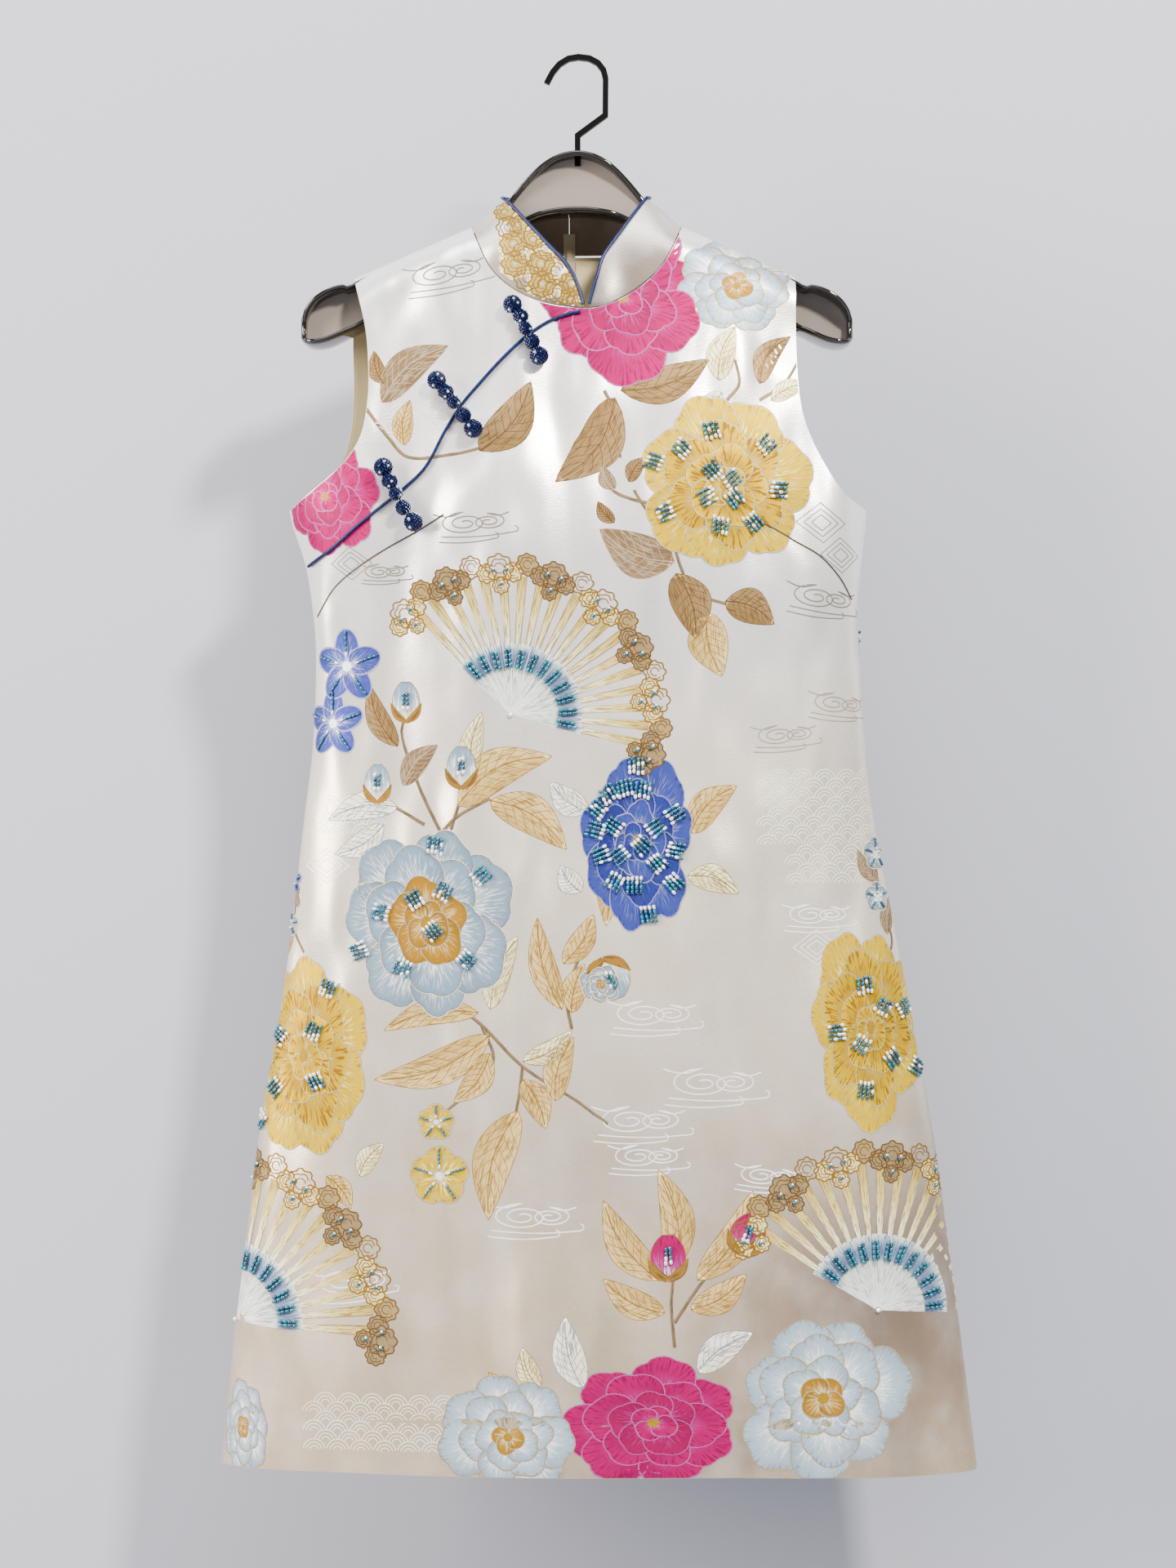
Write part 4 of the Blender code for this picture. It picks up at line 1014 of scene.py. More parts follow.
def petal(spot, angle, base, reach, width, paint, edge, rise, lobes=3, notch=0.08, lean=0.0, dark=0.0):
    """A cup-shaped petal: it opens from its base, out along its angle, to a waved rim."""
    colours, threads = paint
    u = np.linspace(0, 1, 7)[:, None]
    v = np.linspace(-1, 1, 23)[None, :]
    fanned = v * PETAL_OPENING
    wave = 1 - notch * (1 - np.abs(np.cos(lobes * math.pi / 2 * (v + lean))) ** 0.7)
    r = (reach - base) * u * np.cos(fanned) ** 0.5 * wave
    out, aside = base + r * np.cos(fanned), r * np.sin(fanned) * width
    c, s = math.cos(math.radians(angle)), math.sin(math.radians(angle))
    net = np.stack([out * c - aside * s, out * s + aside * c], axis=-1)
    strand = np.stack([r + angle * 1.7, v * (reach - base) * width * 0.75 + 0 * u], axis=-1)
    shade = 1 - 0.3 * np.clip(v * dark, 0, 1)[..., None]
    side = np.concatenate([net[1:, 0], net[-1, 1:-1], net[1:, -1][::-1]])
    line(spot, side, 1.5, rise - 0.006, colours[0])
    draw(spot, net, rise, ramp(u + 0 * v, colours) * shade, ramp(u + 0 * v, threads), strand)
    line(spot, side, 0.5, rise + 0.004, edge)


def peony(spot, radius, rings, palette, seed, edge):
    """Rings of petals, the outer ones first."""
    rng = np.random.default_rng(seed)
    rise = 0.0
    for count, base, reach, width, lobes, start, ring in rings:
        for k in range(count):
            angle = start + 360.0 * k / count + rng.uniform(-7, 7)
            petal(spot, angle, radius * base, radius * reach * rng.uniform(0.88, 1.06),
                  width * rng.uniform(0.92, 1.15), palette[ring], edge, rise, lobes, 0.09,
                  rng.uniform(-0.15, 0.15), rng.choice((-1, 1)))
            rise += 0.012


def blossom(spot, radius, paint, edge, width, heart):
    for k in range(5):
        petal(spot, 90 + 72.0 * k, radius * 0.06, radius, width, paint, edge, 0.01 * k, 1, 0.05)
    disc(spot, (0, 0), radius * 0.14, heart, 0.08)


def disc(spot, middle, radius, colour, rise, lobes=0, depth=0.0, thread=None, steps=24):
    angles = np.linspace(0, 2 * math.pi, steps + 1)
    reach = radius * (1 - depth * (1 - np.abs(np.cos(lobes * angles / 2)))) if lobes else (
        radius + 0 * angles)
    rim = np.stack([np.cos(angles) * reach, np.sin(angles) * reach], axis=1) + np.array(middle)
    u = np.linspace(0.02, 1, 3)[:, None, None]
    net = np.array(middle) + (rim - np.array(middle))[None] * u
    strand = np.stack([u[..., 0] * radius + 0 * angles[None], angles[None] * radius / 2 + 0 * u[..., 0]],
                      axis=-1)
    colour = strong(colour)
    draw(spot, net, rise, colour, strong(thread) if thread else colour * 0.8, strand)


def ring_line(spot, middle, radius, width, colour, rise, lobes=0, depth=0.0, start=0.0, end=360.0,
              steps=30):
    angles = np.radians(np.linspace(start, end, steps + 1))
    reach = radius * (1 - depth * (1 - np.abs(np.cos(lobes * angles / 2)))) if lobes else (
        radius + 0 * angles)
    points = np.stack([np.cos(angles) * reach, np.sin(angles) * reach], axis=1) + np.array(middle)
    line(spot, points, width, rise, colour)


def leaf(front, base, tip, width, colours, vein, bend=0.12, lift=0.14, veins=6):
    """A leaf from its base to its tip, with a midrib and side veins."""
    base, tip = np.array(base, float), np.array(tip, float)
    spot = Spot(front, base, lift=lift)
    run = tip - base
    length = float(np.linalg.norm(run))
    along = run / length
    across = np.array((-along[1], along[0]))
    u = np.linspace(0, 1, 15)
    spine = u[:, None] * run + (np.sin(math.pi * u) * bend * length)[:, None] * across
    half = width / 2 * np.sin(math.pi * u**0.8) ** 0.85
    v = np.linspace(-1, 1, 7)
    net = spine[:, None] + (half[:, None] * v[None])[..., None] * across
    tint = ramp(((v + 1) / 2)[None] * 0.75 + 0.25 * u[:, None], colours)
    strand = np.stack([u[:, None] * length + 0 * v[None], half[:, None] * v[None] * 1.4
                       + u[:, None] * 6], axis=-1)
    draw(spot, net, 0.0, tint, strong(vein), strand)
    rim = np.concatenate([net[:, 0], net[::-1, -1]])
    line(spot, rim, 0.45, 0.01, vein)
    line(spot, spine[:-1], 0.8, 0.02, vein)
    for k in range(veins):
        start = 0.12 + 0.68 * k / veins
        for sign in (-1, 1):
            t = np.linspace(0, 1, 4)
            place = start + 0.17 * t
            middle = np.stack([np.interp(place, u, spine[:, j]) for j in (0, 1)], axis=1)
            out = np.interp(place, u, half) * 0.86 * t * sign
            line(spot, middle + out[:, None] * across, 0.45, 0.02, vein)


def stem(front, points, width, colour, shade, lift=0.10):
    run = spline(points, even(max(6, 5 * len(points))))
    spot = Spot(front, (0, 0), lift=lift)
    taper = width * (1 - 0.25 * even(len(run) - 1))
    line(spot, run, taper, 0.0, colour, shade)
    line(spot, run + np.array((0.0, -0.32 * width)), 0.5, 0.01, shade)


def bead_row(front, middle, turn, length, count, colours, size=2.6):
    """Beads in line; turn is the direction of the line in degrees."""
    d = np.array((math.cos(math.radians(turn)), math.sin(math.radians(turn))))
    for k in range(count):
        share = (k + 0.5) / count - 0.5
        place = np.array(middle) + d * share * length
        colour = colours[k] if k < len(colours) else colours[-1]
        BEADS[front].append((place[0], place[1], size / 2 + 0.3, size / 2, length / count * 0.98, turn,
                             *strong(colour)))


TEALS = ("#1B84A0", "#2F9DB8", "#176F8C", "#43B0C6")


def bead_cluster(front, middle, turn, strips=4, seed=0):
    """Short parallel strings of bugle beads; their ends towards the flower's heart are white."""
    rng = np.random.default_rng(seed)
    across = np.array((-math.sin(math.radians(turn)), math.cos(math.radians(turn))))
    along = np.array((math.cos(math.radians(turn)), math.sin(math.radians(turn))))
    for k in range(strips):
        shift = (k - (strips - 1) / 2) * 3.3
        teal = [TEALS[rng.integers(4)] for _ in range(3)]
        if rng.random() < 0.45:
            teal[rng.integers(3)] = "#EEF4F6"
        bead_row(front, np.array(middle) + across * shift + along * rng.uniform(-0.8, 0.8),
                 turn + rng.uniform(-5, 5), 13.5, 4, ["#FFFFFF"] + teal)


# Dyes of a petal from its base to its rim, then those of the floss strokes over them
GOLD = (("#C9CDC6", "#DDBE82", "#D8AA60", "#D0A056"), ("#F8F6EA", "#EDD9AC", "#B07C38"))
YELLOW = (("#C4BCAE", "#D8BA38", "#E4C010", "#EACA12"), ("#FFFFFF", "#E6D8A8", "#B88420", "#A87818"))
DEEP_YELLOW = (("#B7A88C", "#D0AC34", "#E2BC1C", "#F0CE2A"), ("#F4EEDF", "#B08028", "#A07018"))
PALE_YELLOW = (("#C9C2AE", "#DCC03C", "#E8C814", "#EED012"), ("#FFFFFF", "#F2E49A", "#C09418"))
BLUE = (("#E6E4D8", "#CCD7DA", "#B2C6D6", "#A4BED4"), ("#FFFFFF", "#E6EEF0", "#86A2BA"))
PALE_BLUE = (("#E2DECC", "#CDD8DA", "#AFC6D8", "#A2C0D8"), ("#FFFFFF", "#EAEEEA", "#84A2BC"))
FROST = (("#D2C9B0", "#DFE4E2", "#C4D6E2", "#B9D0E0"), ("#F8F5E8", "#FFFFFF", "#93AABC"))
MAGENTA = (("#CE90C8", "#DE2498", "#DA0480", "#E00686"), ("#F6F0FA", "#F080C4", "#BE0672", "#A6005A"))
DEEP_MAGENTA = (("#B67AB6", "#C81884", "#C40070", "#D0047A"), ("#EEE2F6", "#E468A8", "#A20450"))
PERI = (("#BEC0E2", "#7680CC", "#5664C4", "#5F6CCE"), ("#F0F2FC", "#A8B0E8", "#343C88"))
DEEP_PERI = (("#A6AAD8", "#5A66BC", "#434EB0", "#4C58BA"), ("#DCE0F6", "#8C94D4", "#242A70"))
PALETTES = {
    "yellow": {"out": PALE_YELLOW, "mid": YELLOW, "in": DEEP_YELLOW, "heart": YELLOW},
    "blue": {"out": BLUE, "mid": PALE_BLUE, "in": BLUE, "heart": GOLD},
    "blue_gold": {"out": BLUE, "mid": PALE_BLUE, "in": GOLD, "heart": GOLD},
    "frost": {"out": FROST, "mid": FROST, "in": FROST, "heart": GOLD},
    "magenta": {"out": MAGENTA, "mid": MAGENTA, "in": DEEP_MAGENTA, "heart": MAGENTA},
    "periwinkle": {"out": PERI, "mid": DEEP_PERI, "in": PERI, "heart": DEEP_PERI},
}
EDGES = {"yellow": "#E2D2A4", "blue": "#C2A878", "blue_gold": "#C2A070", "frost": "#CDB486",
         "magenta": "#EC80BC", "periwinkle": "#B8B6DA"}
# Rings of a full flower: petals, base and tip as shares of its radius, width, lobes, first angle, ring
FULL = (
    (7, 0.34, 1.00, 0.94, 4, 8, "out"),
    (6, 0.18, 0.74, 0.88, 3, 34, "mid"),
    (5, 0.04, 0.48, 0.88, 3, 5, "in"),
    (4, 0.00, 0.26, 0.95, 2, 40, "heart"),
)

# Flowers of the front: palette, pixel across and down, half width and half height in pixels, turn
FLOWERS = (
    ("magenta", 762, 364, 106, 106, 10),
    ("frost", 902, 350, 76, 66, 30),
    ("yellow", 888, 594, 112, 112, 0),
    ("blue_gold", 522, 1130, 110, 126, 15),
    ("periwinkle", 780, 1030, 72, 108, 0),
    ("yellow", 372, 1292, 92, 132, 25),
    ("yellow", 1066, 1258, 82, 130, 10),
    ("magenta", 800, 1742, 118, 88, 20),
    ("frost", 1008, 1712, 112, 110, 5),
    ("frost", 622, 1760, 84, 80, 40),
    ("magenta", 398, 608, 72, 78, 0),
    ("frost", 298, 1748, 34, 60, 0),
    ("blue", 735, 1205, 26, 26, 0),
)
# Bead clusters of the front: flower number, then pixel places
CLUSTERS = (
    (2, ((871, 527), (835, 550), (801, 565), (872, 576), (896, 587), (866, 608), (815, 627),
         (938, 545), (954, 600), (899, 610), (882, 643), (922, 639))),
    (3, ((533, 1035), (589, 1072), (543, 1092), (508, 1102), (467, 1117), (530, 1140), (440, 1164),
         (493, 1185), (572, 1175))),
    (4, ((779, 937), (745, 972), (765, 965), (787, 967), (731, 991), (729, 1016), (752, 1012),
         (736, 1047), (803, 1013), (827, 996), (785, 1035), (827, 1041), (759, 1047), (805, 1057),
         (753, 1079), (777, 1084), (825, 1081), (794, 1119))),
    (5, ((344, 1267), (384, 1263), (338, 1331), (387, 1324), (321, 1370), (402, 1210))),
    (6, ((1058, 1206), (1081, 1233), (1106, 1233), (1025, 1264), (1054, 1279), (1092, 1296),
         (1121, 1306), (1060, 1334))),
)
# Leaves: pixel base, pixel tip, width in pixels, palette number, bend
LEAF_TINTS = (
    (("#B3946C", "#CDB08A"), "#8A6C4A"),
    (("#E4C68C", "#F0D8A6"), "#BE985E"),
    (("#EBE3C8", "#F1ECD8"), "#A9B7C0"),
    (("#9C8163", "#B99C7A"), "#D2C2AC"),
    (("#E9DDB4", "#F0E8C8"), "#C2AC74"),
)
LEAVES = (
    (467, 493, 549, 423, 44, 3, 0.12), (495, 545, 502, 490, 26, 1, 0.1), (470, 470, 458, 430, 22, 0, 0.1),
    (587, 552, 650, 467, 50, 0, -0.12), (753, 487, 680, 590, 56, 0, 0.14),
    (760, 478, 868, 440, 46, 0, -0.1), (880, 466, 900, 400, 36, 4, 0.1),
    (884, 480, 842, 512, 28, 2, 0.1), (930, 470, 968, 412, 30, 0, 0.16), (944, 490, 990, 470, 24, 4, 0.1),
    (826, 688, 734, 648, 56, 3, 0.12), (828, 702, 852, 782, 50, 0, 0.1),
    (866, 750, 884, 828, 50, 1, -0.1), (888, 736, 948, 764, 44, 0, 0.12),
    (752, 600, 738, 570, 20, 3, 0.1), (770, 590, 790, 560, 20, 0, 0.1), (752, 640, 732, 614, 18, 0, 0.1),
    (560, 987, 676, 926, 50, 1, 0.14), (600, 980, 694, 1040, 48, 1, 0.12),
    (574, 948, 590, 872, 28, 4, 0.06), (487, 914, 452, 838, 30, 0, 0.1),
    (493, 962, 536, 912, 30, 3, 0.1), (487, 988, 402, 1004, 34, 2, -0.1),
    (470, 1010, 410, 1046, 30, 2, 0.1), (720, 994, 674, 958, 34, 2, 0.1),
    (846, 1020, 902, 962, 38, 1, 0.12), (842, 1072, 904, 1094, 34, 4, 0.12),
    (727, 1040, 742, 1134, 34, 1, 0.1), (712, 1092, 686, 1060, 30, 2, 0.1),
    (600, 1236, 634, 1146, 34, 4, 0.08), (688, 1236, 658, 1124, 34, 1, 0.08),
    (690, 1180, 726, 1120, 30, 1, -0.08), (700, 1240, 716, 1180, 30, 1, 0.08),
    (600, 1268, 458, 1322, 44, 1, 0.10), (586, 1240, 470, 1262, 32, 1, -0.10),
    (600, 1290, 556, 1350, 34, 1, 0.10), (640, 1322, 668, 1382, 34, 1, 0.08),
    (634, 1360, 598, 1494, 50, 1, -0.10), (680, 1348, 702, 1270, 34, 1, 0.10),
    (640, 1300, 700, 1262, 26, 4, -0.1),
    (808, 1568, 738, 1470, 42, 1, 0.10), (828, 1552, 806, 1432, 42, 1, -0.10),
    (854, 1568, 922, 1458, 42, 1, -0.10), (814, 1608, 738, 1566, 36, 1, 0.10),
    (846, 1604, 914, 1560, 36, 1, -0.10), (713, 1700, 692, 1612, 40, 2, 0.08),
    (854, 1680, 922, 1632, 38, 2, 0.08), (694, 1754, 598, 1680, 46, 1, 0.10),
    (660, 1700, 640, 1650, 28, 4, 0.1),
    (1030, 452, 1052, 520, 26, 3, 0.1), (1046, 560, 1052, 620, 24, 3, 0.1),
    (1086, 1144, 1112, 1096, 24, 3, 0.1), (1074, 1080, 1050, 1040, 20, 3, 0.1),
    (440, 1440, 470, 1400, 26, 4, 0.1), (400, 1440, 430, 1480, 26, 1, 0.1),
    (330, 1130, 342, 1170, 18, 1, 0.1), (366, 1110, 350, 1084, 16, 3, 0.1),
)
# Stems: pixel points from root to end
STEMS = (
    ((448, 500), (474, 534), (500, 560), (556, 556), (590, 548)),
    ((740, 478), (752, 505), (748, 530), (760, 560)),
    ((800, 618), (770, 610), (750, 600), (742, 580)),
    ((820, 644), (832, 690), (850, 725), (890, 740)),
    ((806, 640), (790, 622), (776, 600)),
    ((540, 1020), (512, 960), (492, 900), (497, 872)),
    ((552, 1016), (566, 972), (572, 950)),
    ((540, 1020), (560, 1000), (600, 978)),
    ((520, 1010), (490, 992), (466, 980)),
    ((548, 1226), (586, 1252), (640, 1306), (706, 1348), (744, 1376)),
    ((700, 1260), (694, 1220), (708, 1176), (720, 1150)),
    ((640, 1306), (636, 1340), (628, 1380)),
    ((590, 1256), (604, 1300), (570, 1340), (540, 1366)),
    ((826, 1650), (822, 1600), (824, 1560), (820, 1548)),
    ((826, 1620), (860, 1570), (900, 1530), (912, 1518)),
    ((1072, 1060), (1078, 1100), (1092, 1150), (1086, 1176)),
    ((366, 1086), (360, 1130), (372, 1166)),
    ((890, 490), (905, 470), (900, 440)),
    ((930, 490), (960, 470), (984, 430)),
)
# Buds: pixel place, half width and half height in pixels, turn, kind
BUDS = (
    (497, 858, 17, 23, 0, "blue"), (565, 938, 18, 24, 0, "blue"), (462, 958, 16, 22, 0, "blue"),
    (818, 1538, 22, 26, 0, "magenta"), (916, 1510, 22, 24, -20, "magenta"),
    (748, 1200, 24, 24, 200, "blue"),
)
# Small flowers of the front: pixel place, radius in pixels, palette
SMALL = (
    (425, 816, 46, "periwinkle"), (408, 886, 42, "periwinkle"), (1072, 1045, 20, "blue"),
    (1074, 1098, 18, "blue"), (362, 1078, 16, "periwinkle"), (358, 1132, 14, "blue"),
    (538, 1440, 36, "yellow"), (534, 1374, 22, "yellow"),
)
# Fans: pixel pivot, start and end angle, outer reach in pixels
FANS = (
    (626, 875, -16, 136, 192),
    (290, 1615, -5, 84, 212),
    (1075, 1604, -5, 150, 204),
)
# Line scrolls: pixel place, size in pixels, turn
CLOUDS = (
    (545, 334, 100, 10), (578, 640, 90, 4), (1008, 732, 96, -6), (1028, 862, 84, -4),
    (798, 1242, 104, 0), (872, 1326, 116, 0), (782, 1372, 110, 0), (790, 1416, 90, 0),
    (650, 1490, 106, 0), (960, 900, 80, 4), (1000, 1120, 84, 0),
    (430, 1570, 96, 6), (940, 1440, 80, -4), (960, 320, 60, 10), (470, 700, 60, 0),
)
# Wave scales: pixel place, columns, rows
WAVES = ((505, 520, 4, 4), (1010, 990, 5, 8), (500, 1745, 8, 6), (1030, 1060, 4, 4), (430, 1000, 3, 4))
# Lozenges: pixel place, size in pixels
LOZENGES = ((1006, 640, 34), (1030, 680, 30), (430, 690, 28), (400, 1060, 30), (1000, 1160, 30))


def rosette(spot, middle, radius, fill, rim, rise, filled=True):
    """One scalloped round of the fan's lace edge."""
    if filled:
        disc(spot, middle, radius, fill, rise, 8, 0.22)
    ring_line(spot, middle, radius * 0.98, 1.1, rim, rise + 0.02, 8, 0.22)
    ring_line(spot, middle, radius * 0.66, 0.8, rim, rise + 0.02, 6, 0.16, 20, 320)
    ring_line(spot, middle, radius * 0.34, 0.7, rim, rise + 0.02, 0, 0.0, 0, 300)


def fan(front, middle, start, end, reach, seed):
    spot = Spot(front, middle)
    rng = np.random.default_rng(seed)
    lift = 0.0

    def sector(r0, r1, a0, a1, tint, thread, rise, steps=6):
        r = np.linspace(r0, r1, 5)[:, None]
        a = np.radians(np.linspace(a0, a1, steps + 1))[None]
        net = np.stack([r * np.cos(a), r * np.sin(a)], axis=-1)
        strand = np.stack([r + 0 * a, a * r1 * 1.2 + 0 * r], axis=-1)
        draw(spot, net, rise, ramp((r - r0) / (r1 - r0) + 0 * a, tint), strong(thread), strand)

    hub = reach * 0.46
    sector(reach * 0.02, reach * 0.30, start, end, ("#E9ECE4", "#D9E2DA"), "#B9C4BC", lift, 40)
    sector(reach * 0.30, hub, start, end, ("#C3D0DE", "#9FB0DC", "#B9CCDA", "#DFE8E0"), "#8C9CC8",
           lift + 0.01, 40)
    ribs = max(6, int(round((end - start) / 8.2)))
    step = (end - start) / ribs
    for k in range(ribs + 1):
        a = math.radians(start + k * step)
        d = np.array((math.cos(a), math.sin(a)))
        line(spot, np.array([d * reach * 0.02, d * hub]), 0.5, lift + 0.03, "#F6F7F2")
    for k in range(ribs):
        a0 = start + (k + 0.18) * step
        a1 = start + (k + 0.66) * step
        sector(reach * 0.45, reach * 0.88, a0, a1, ("#F1EACB", "#EBDCA6", "#DFC98A"), "#C9AE68",
               lift + 0.02, 3)
        for side in (a0, a1):
            a = math.radians(side)
            d = np.array((math.cos(a), math.sin(a)))
            line(spot, np.array([d * reach * 0.45, d * reach * 0.88]), 0.5, lift + 0.04, "#BFA26A")
    units = max(4, int(round((end - start) / 22.0)))
    for k in range(units + 1):
        a = math.radians(start + (end - start) * k / units)
        d = np.array((math.cos(a), math.sin(a)))
        n = np.array((-d[1], d[0]))
        dark = k % 2 == 0
        fill, rim = ("#C6AF8B", "#8C7050") if dark else ("#EBDCAE", "#B58F52")
        rosette(spot, d * reach * 0.93, reach * 0.095, fill, rim, lift + 0.06, dark)
        rosette(spot, d * reach * 0.90 + n * reach * 0.085, reach * 0.065, fill, rim, lift + 0.07)
        rosette(spot, d * reach * 0.90 - n * reach * 0.085, reach * 0.065, fill, rim, lift + 0.07)
        rosette(spot, d * reach * 0.82, reach * 0.055, fill, rim, lift + 0.08)
        for off in ((0.92, 0.045), (0.92, -0.045), (0.83, 0.0)):
            place = spot.place(d * reach * off[0] + n * reach * off[1])
            BEADS[front].append((place[0], place[1], 1.7, 1.6, 3.0, math.degrees(a),
                                 *strong("#2A8CA6")))
            BEADS[front].append((place[0] + 1.0, place[1] + 1.4, 1.5, 1.0, 1.9, math.degrees(a),
                                 *strong("#F2F6F8")))
    for k in range(units):
        a = math.radians(start + (end - start) * (k + 0.5) / units)
        d = np.array((math.cos(a), math.sin(a)))
        fill, rim = ("#EBDCAE", "#B58F52") if k % 2 else ("#D0B88E", "#98784E")
        rosette(spot, d * reach * 0.96, reach * 0.075, fill, rim, lift + 0.05, k % 2 == 0)
    strips = max(4, int(round((end - start) / 12.5)))
    for k in range(strips):
        a = start + (end - start) * (k + 0.5) / strips
        d = np.array((math.cos(math.radians(a)), math.sin(math.radians(a))))
        n = np.array((-d[1], d[0]))
        for off in (-1.5, 1.5):
            place = spot.place(d * reach * (0.36 + rng.uniform(-0.01, 0.01)) + n * off)
            bead_row(front, place, a, 15.0, 4, [TEALS[rng.integers(4)] for _ in range(4)], 2.8)
    BEADS[front].append((middle[0], middle[1], 1.4, 1.8, 3.4, 0.0, *strong("#F6F6F2")))


def cloud(front, middle, size, turn, colour):
    """A scroll cloud: two curls joined by long level lines that taper to the sides."""
    spot = Spot(front, middle, turn, lift=0.09)
    t = np.linspace(0, 1, 34)
    for sign, cx, scale in ((-1, -0.10, 1.0), (1, 0.22, 0.72)):
        grow = size * scale * (0.03 + 0.15 * t)
        a = math.pi / 2 - sign * 2.1 * 2 * math.pi * (1 - t)
        curl = np.stack([cx * size + 1.9 * grow * np.cos(a), 0.85 * grow * np.sin(a)], axis=1)
        tail = np.linspace(0.05, 1, 10)[:, None] * np.array((sign * size * 0.42 * scale, 0.0))
        tail[:, 1] -= size * 0.05 * np.sin(np.linspace(0, math.pi, 10)) * scale
        line(spot, np.concatenate([curl, curl[-1] + tail]), 1.0, 0.0, colour)
    for level, wide, shift in ((-0.16, 0.52, 0.06), (-0.23, 0.40, -0.10)):
        x = np.linspace(-wide, wide, 24) * size
        z = level * size - 0.03 * size * np.cos(x / (wide * size) * math.pi / 2)
        run = np.stack([x + shift * size, z], axis=1)
        end = run[-1] + np.array([(0.03, 0.02), (0.03, 0.06), (-0.01, 0.08)]) * size
        line(spot, np.concatenate([run, end]), 0.9, 0.0, colour)


def waves(front, middle, columns, rows, colour):
    """Overlapping rounds of the wave pattern."""
    spot = Spot(front, middle, lift=0.08)
    for i in range(rows):
        for j in range(columns):
            x = (j - columns / 2 + 0.5 * (i % 2)) * 18.0
            z = (i - rows / 2) * 7.0
            for r in (8.6, 6.0, 3.4):
                ring_line(spot, (x, z), r, 0.6, colour, 0.0, 0, 0, 12, 168, 14)


def lozenge(front, middle, size, colour):
    spot = Spot(front, middle, lift=0.08)
    for share in (1.0, 0.7, 0.4):
        w, h = size * share, size * 0.72 * share
        for a, b in (((-w, 0), (0, h)), ((0, h), (w, 0)), ((w, 0), (0, -h)), ((0, -h), (-w, 0))):
            line(spot, np.linspace(a, b, 5), 0.7, 0.0, colour)


WAVE_COLOUR = "#EFE7DA"


def scroll_colour(z):
    return "#AFA89F" if z > -420 else ("#F6F1E6" if z < -560 else "#C9C0B2")


def flower(front, palette, middle, half_width, half_height, turn, seed):
    radius = max(half_width, half_height)
    spot = Spot(front, middle, 0.0, half_width / radius, half_height / radius, lift=0.20)
    rings = [(*ring[:5], ring[5] + turn, ring[6]) for ring in FULL]
    disc(spot, (0, 0), radius * 0.72, PALETTES[palette]["out"][0][0], -0.03, 9, 0.10, "#A09686", 48)
    peony(spot, radius, rings, PALETTES[palette], seed, EDGES[palette])
    disc(spot, (0, 0), radius * 0.07, "#D2AE62", 0.30, 7, 0.2)


def bud(front, middle, half_width, half_height, turn, kind, seed):
    spot = Spot(front, middle, turn, lift=0.20)
    colours, threads = {"blue": PALE_BLUE, "yellow": YELLOW, "magenta": MAGENTA}[kind]
    w, h = half_width, half_height
    u = np.linspace(0, 1, 11)
    wide = w * np.sin(math.pi * (0.1 + 0.85 * u)) ** 0.6
    v = np.linspace(-1, 1, 7)
    net = np.stack([wide[:, None] * v[None], (-h + 2 * h * u)[:, None] + 0 * v[None]], axis=-1)
    strand = np.stack([2 * h * u[:, None] + 0 * v[None], wide[:, None] * v[None]], axis=-1)
    along = u[:, None] + 0 * v[None]
    draw(spot, net, 0.0, ramp(along, colours), ramp(along, threads), strand)
    line(spot, np.concatenate([net[:, 0], net[::-1, -1]]), 0.5, 0.02, "#C9A36B")
    for sign in (-1, 1):
        cup = np.array([(0, -h * 1.15), (sign * w * 0.7, -h * 0.75), (sign * w * 1.15, -h * 0.1)])
        run = spline(cup, even(8))
        line(spot, run, w * 0.55 * np.sin(math.pi * (0.15 + 0.84 * even(8))), 0.04, "#C99F63",
             "#8F7355")
    bead_cluster(front, spot.place(np.array((0.0, 0.0))), turn + 90, 2, seed)


def front_pattern():
    for px, py, size, turn in CLOUDS:
        middle = at_pixel(px, py)
        cloud(True, middle, size * PIXEL, turn, scroll_colour(middle[1]))
    for px, py, columns, rows in WAVES:
        middle = at_pixel(px, py)
        waves(True, middle, columns, rows, WAVE_COLOUR)
    for px, py, size in LOZENGES:
        middle = at_pixel(px, py)
        lozenge(True, middle, size * PIXEL, scroll_colour(middle[1]))
    for points in STEMS:
        stem(True, [at_pixel(*p) for p in points], 2.8, "#B9A383", "#8A7A62")
    for bx, by, tx, ty, width, tint, bend in LEAVES:
        colours, vein = LEAF_TINTS[tint]
        leaf(True, at_pixel(bx, by), at_pixel(tx, ty), width * PIXEL, colours, vein, bend)
    for k, (px, py, start, end, reach) in enumerate(FANS):
        fan(True, at_pixel(px, py), start, end, reach * PIXEL, 40 + k)
    for k, (palette, px, py, hw, hh, turn) in enumerate(FLOWERS):
        flower(True, palette, at_pixel(px, py), hw * PIXEL, hh * PIXEL, turn, 60 + k)
    for k, (number, places) in enumerate(CLUSTERS):
        heart = np.array(at_pixel(*FLOWERS[number][1:3]))
        for j, place in enumerate(places):
            middle = np.array(at_pixel(*place))
            away = middle - heart
            bead_cluster(True, middle, math.degrees(math.atan2(away[1], away[0])), 4, 100 * k + j)
    for k, (px, py, w, h, turn, kind) in enumerate(BUDS):
        bud(True, at_pixel(px, py), w * PIXEL, h * PIXEL, turn, kind, 900 + k)
    for px, py, size, palette in SMALL:
        small_flower(True, at_pixel(px, py), size * PIXEL, palette)


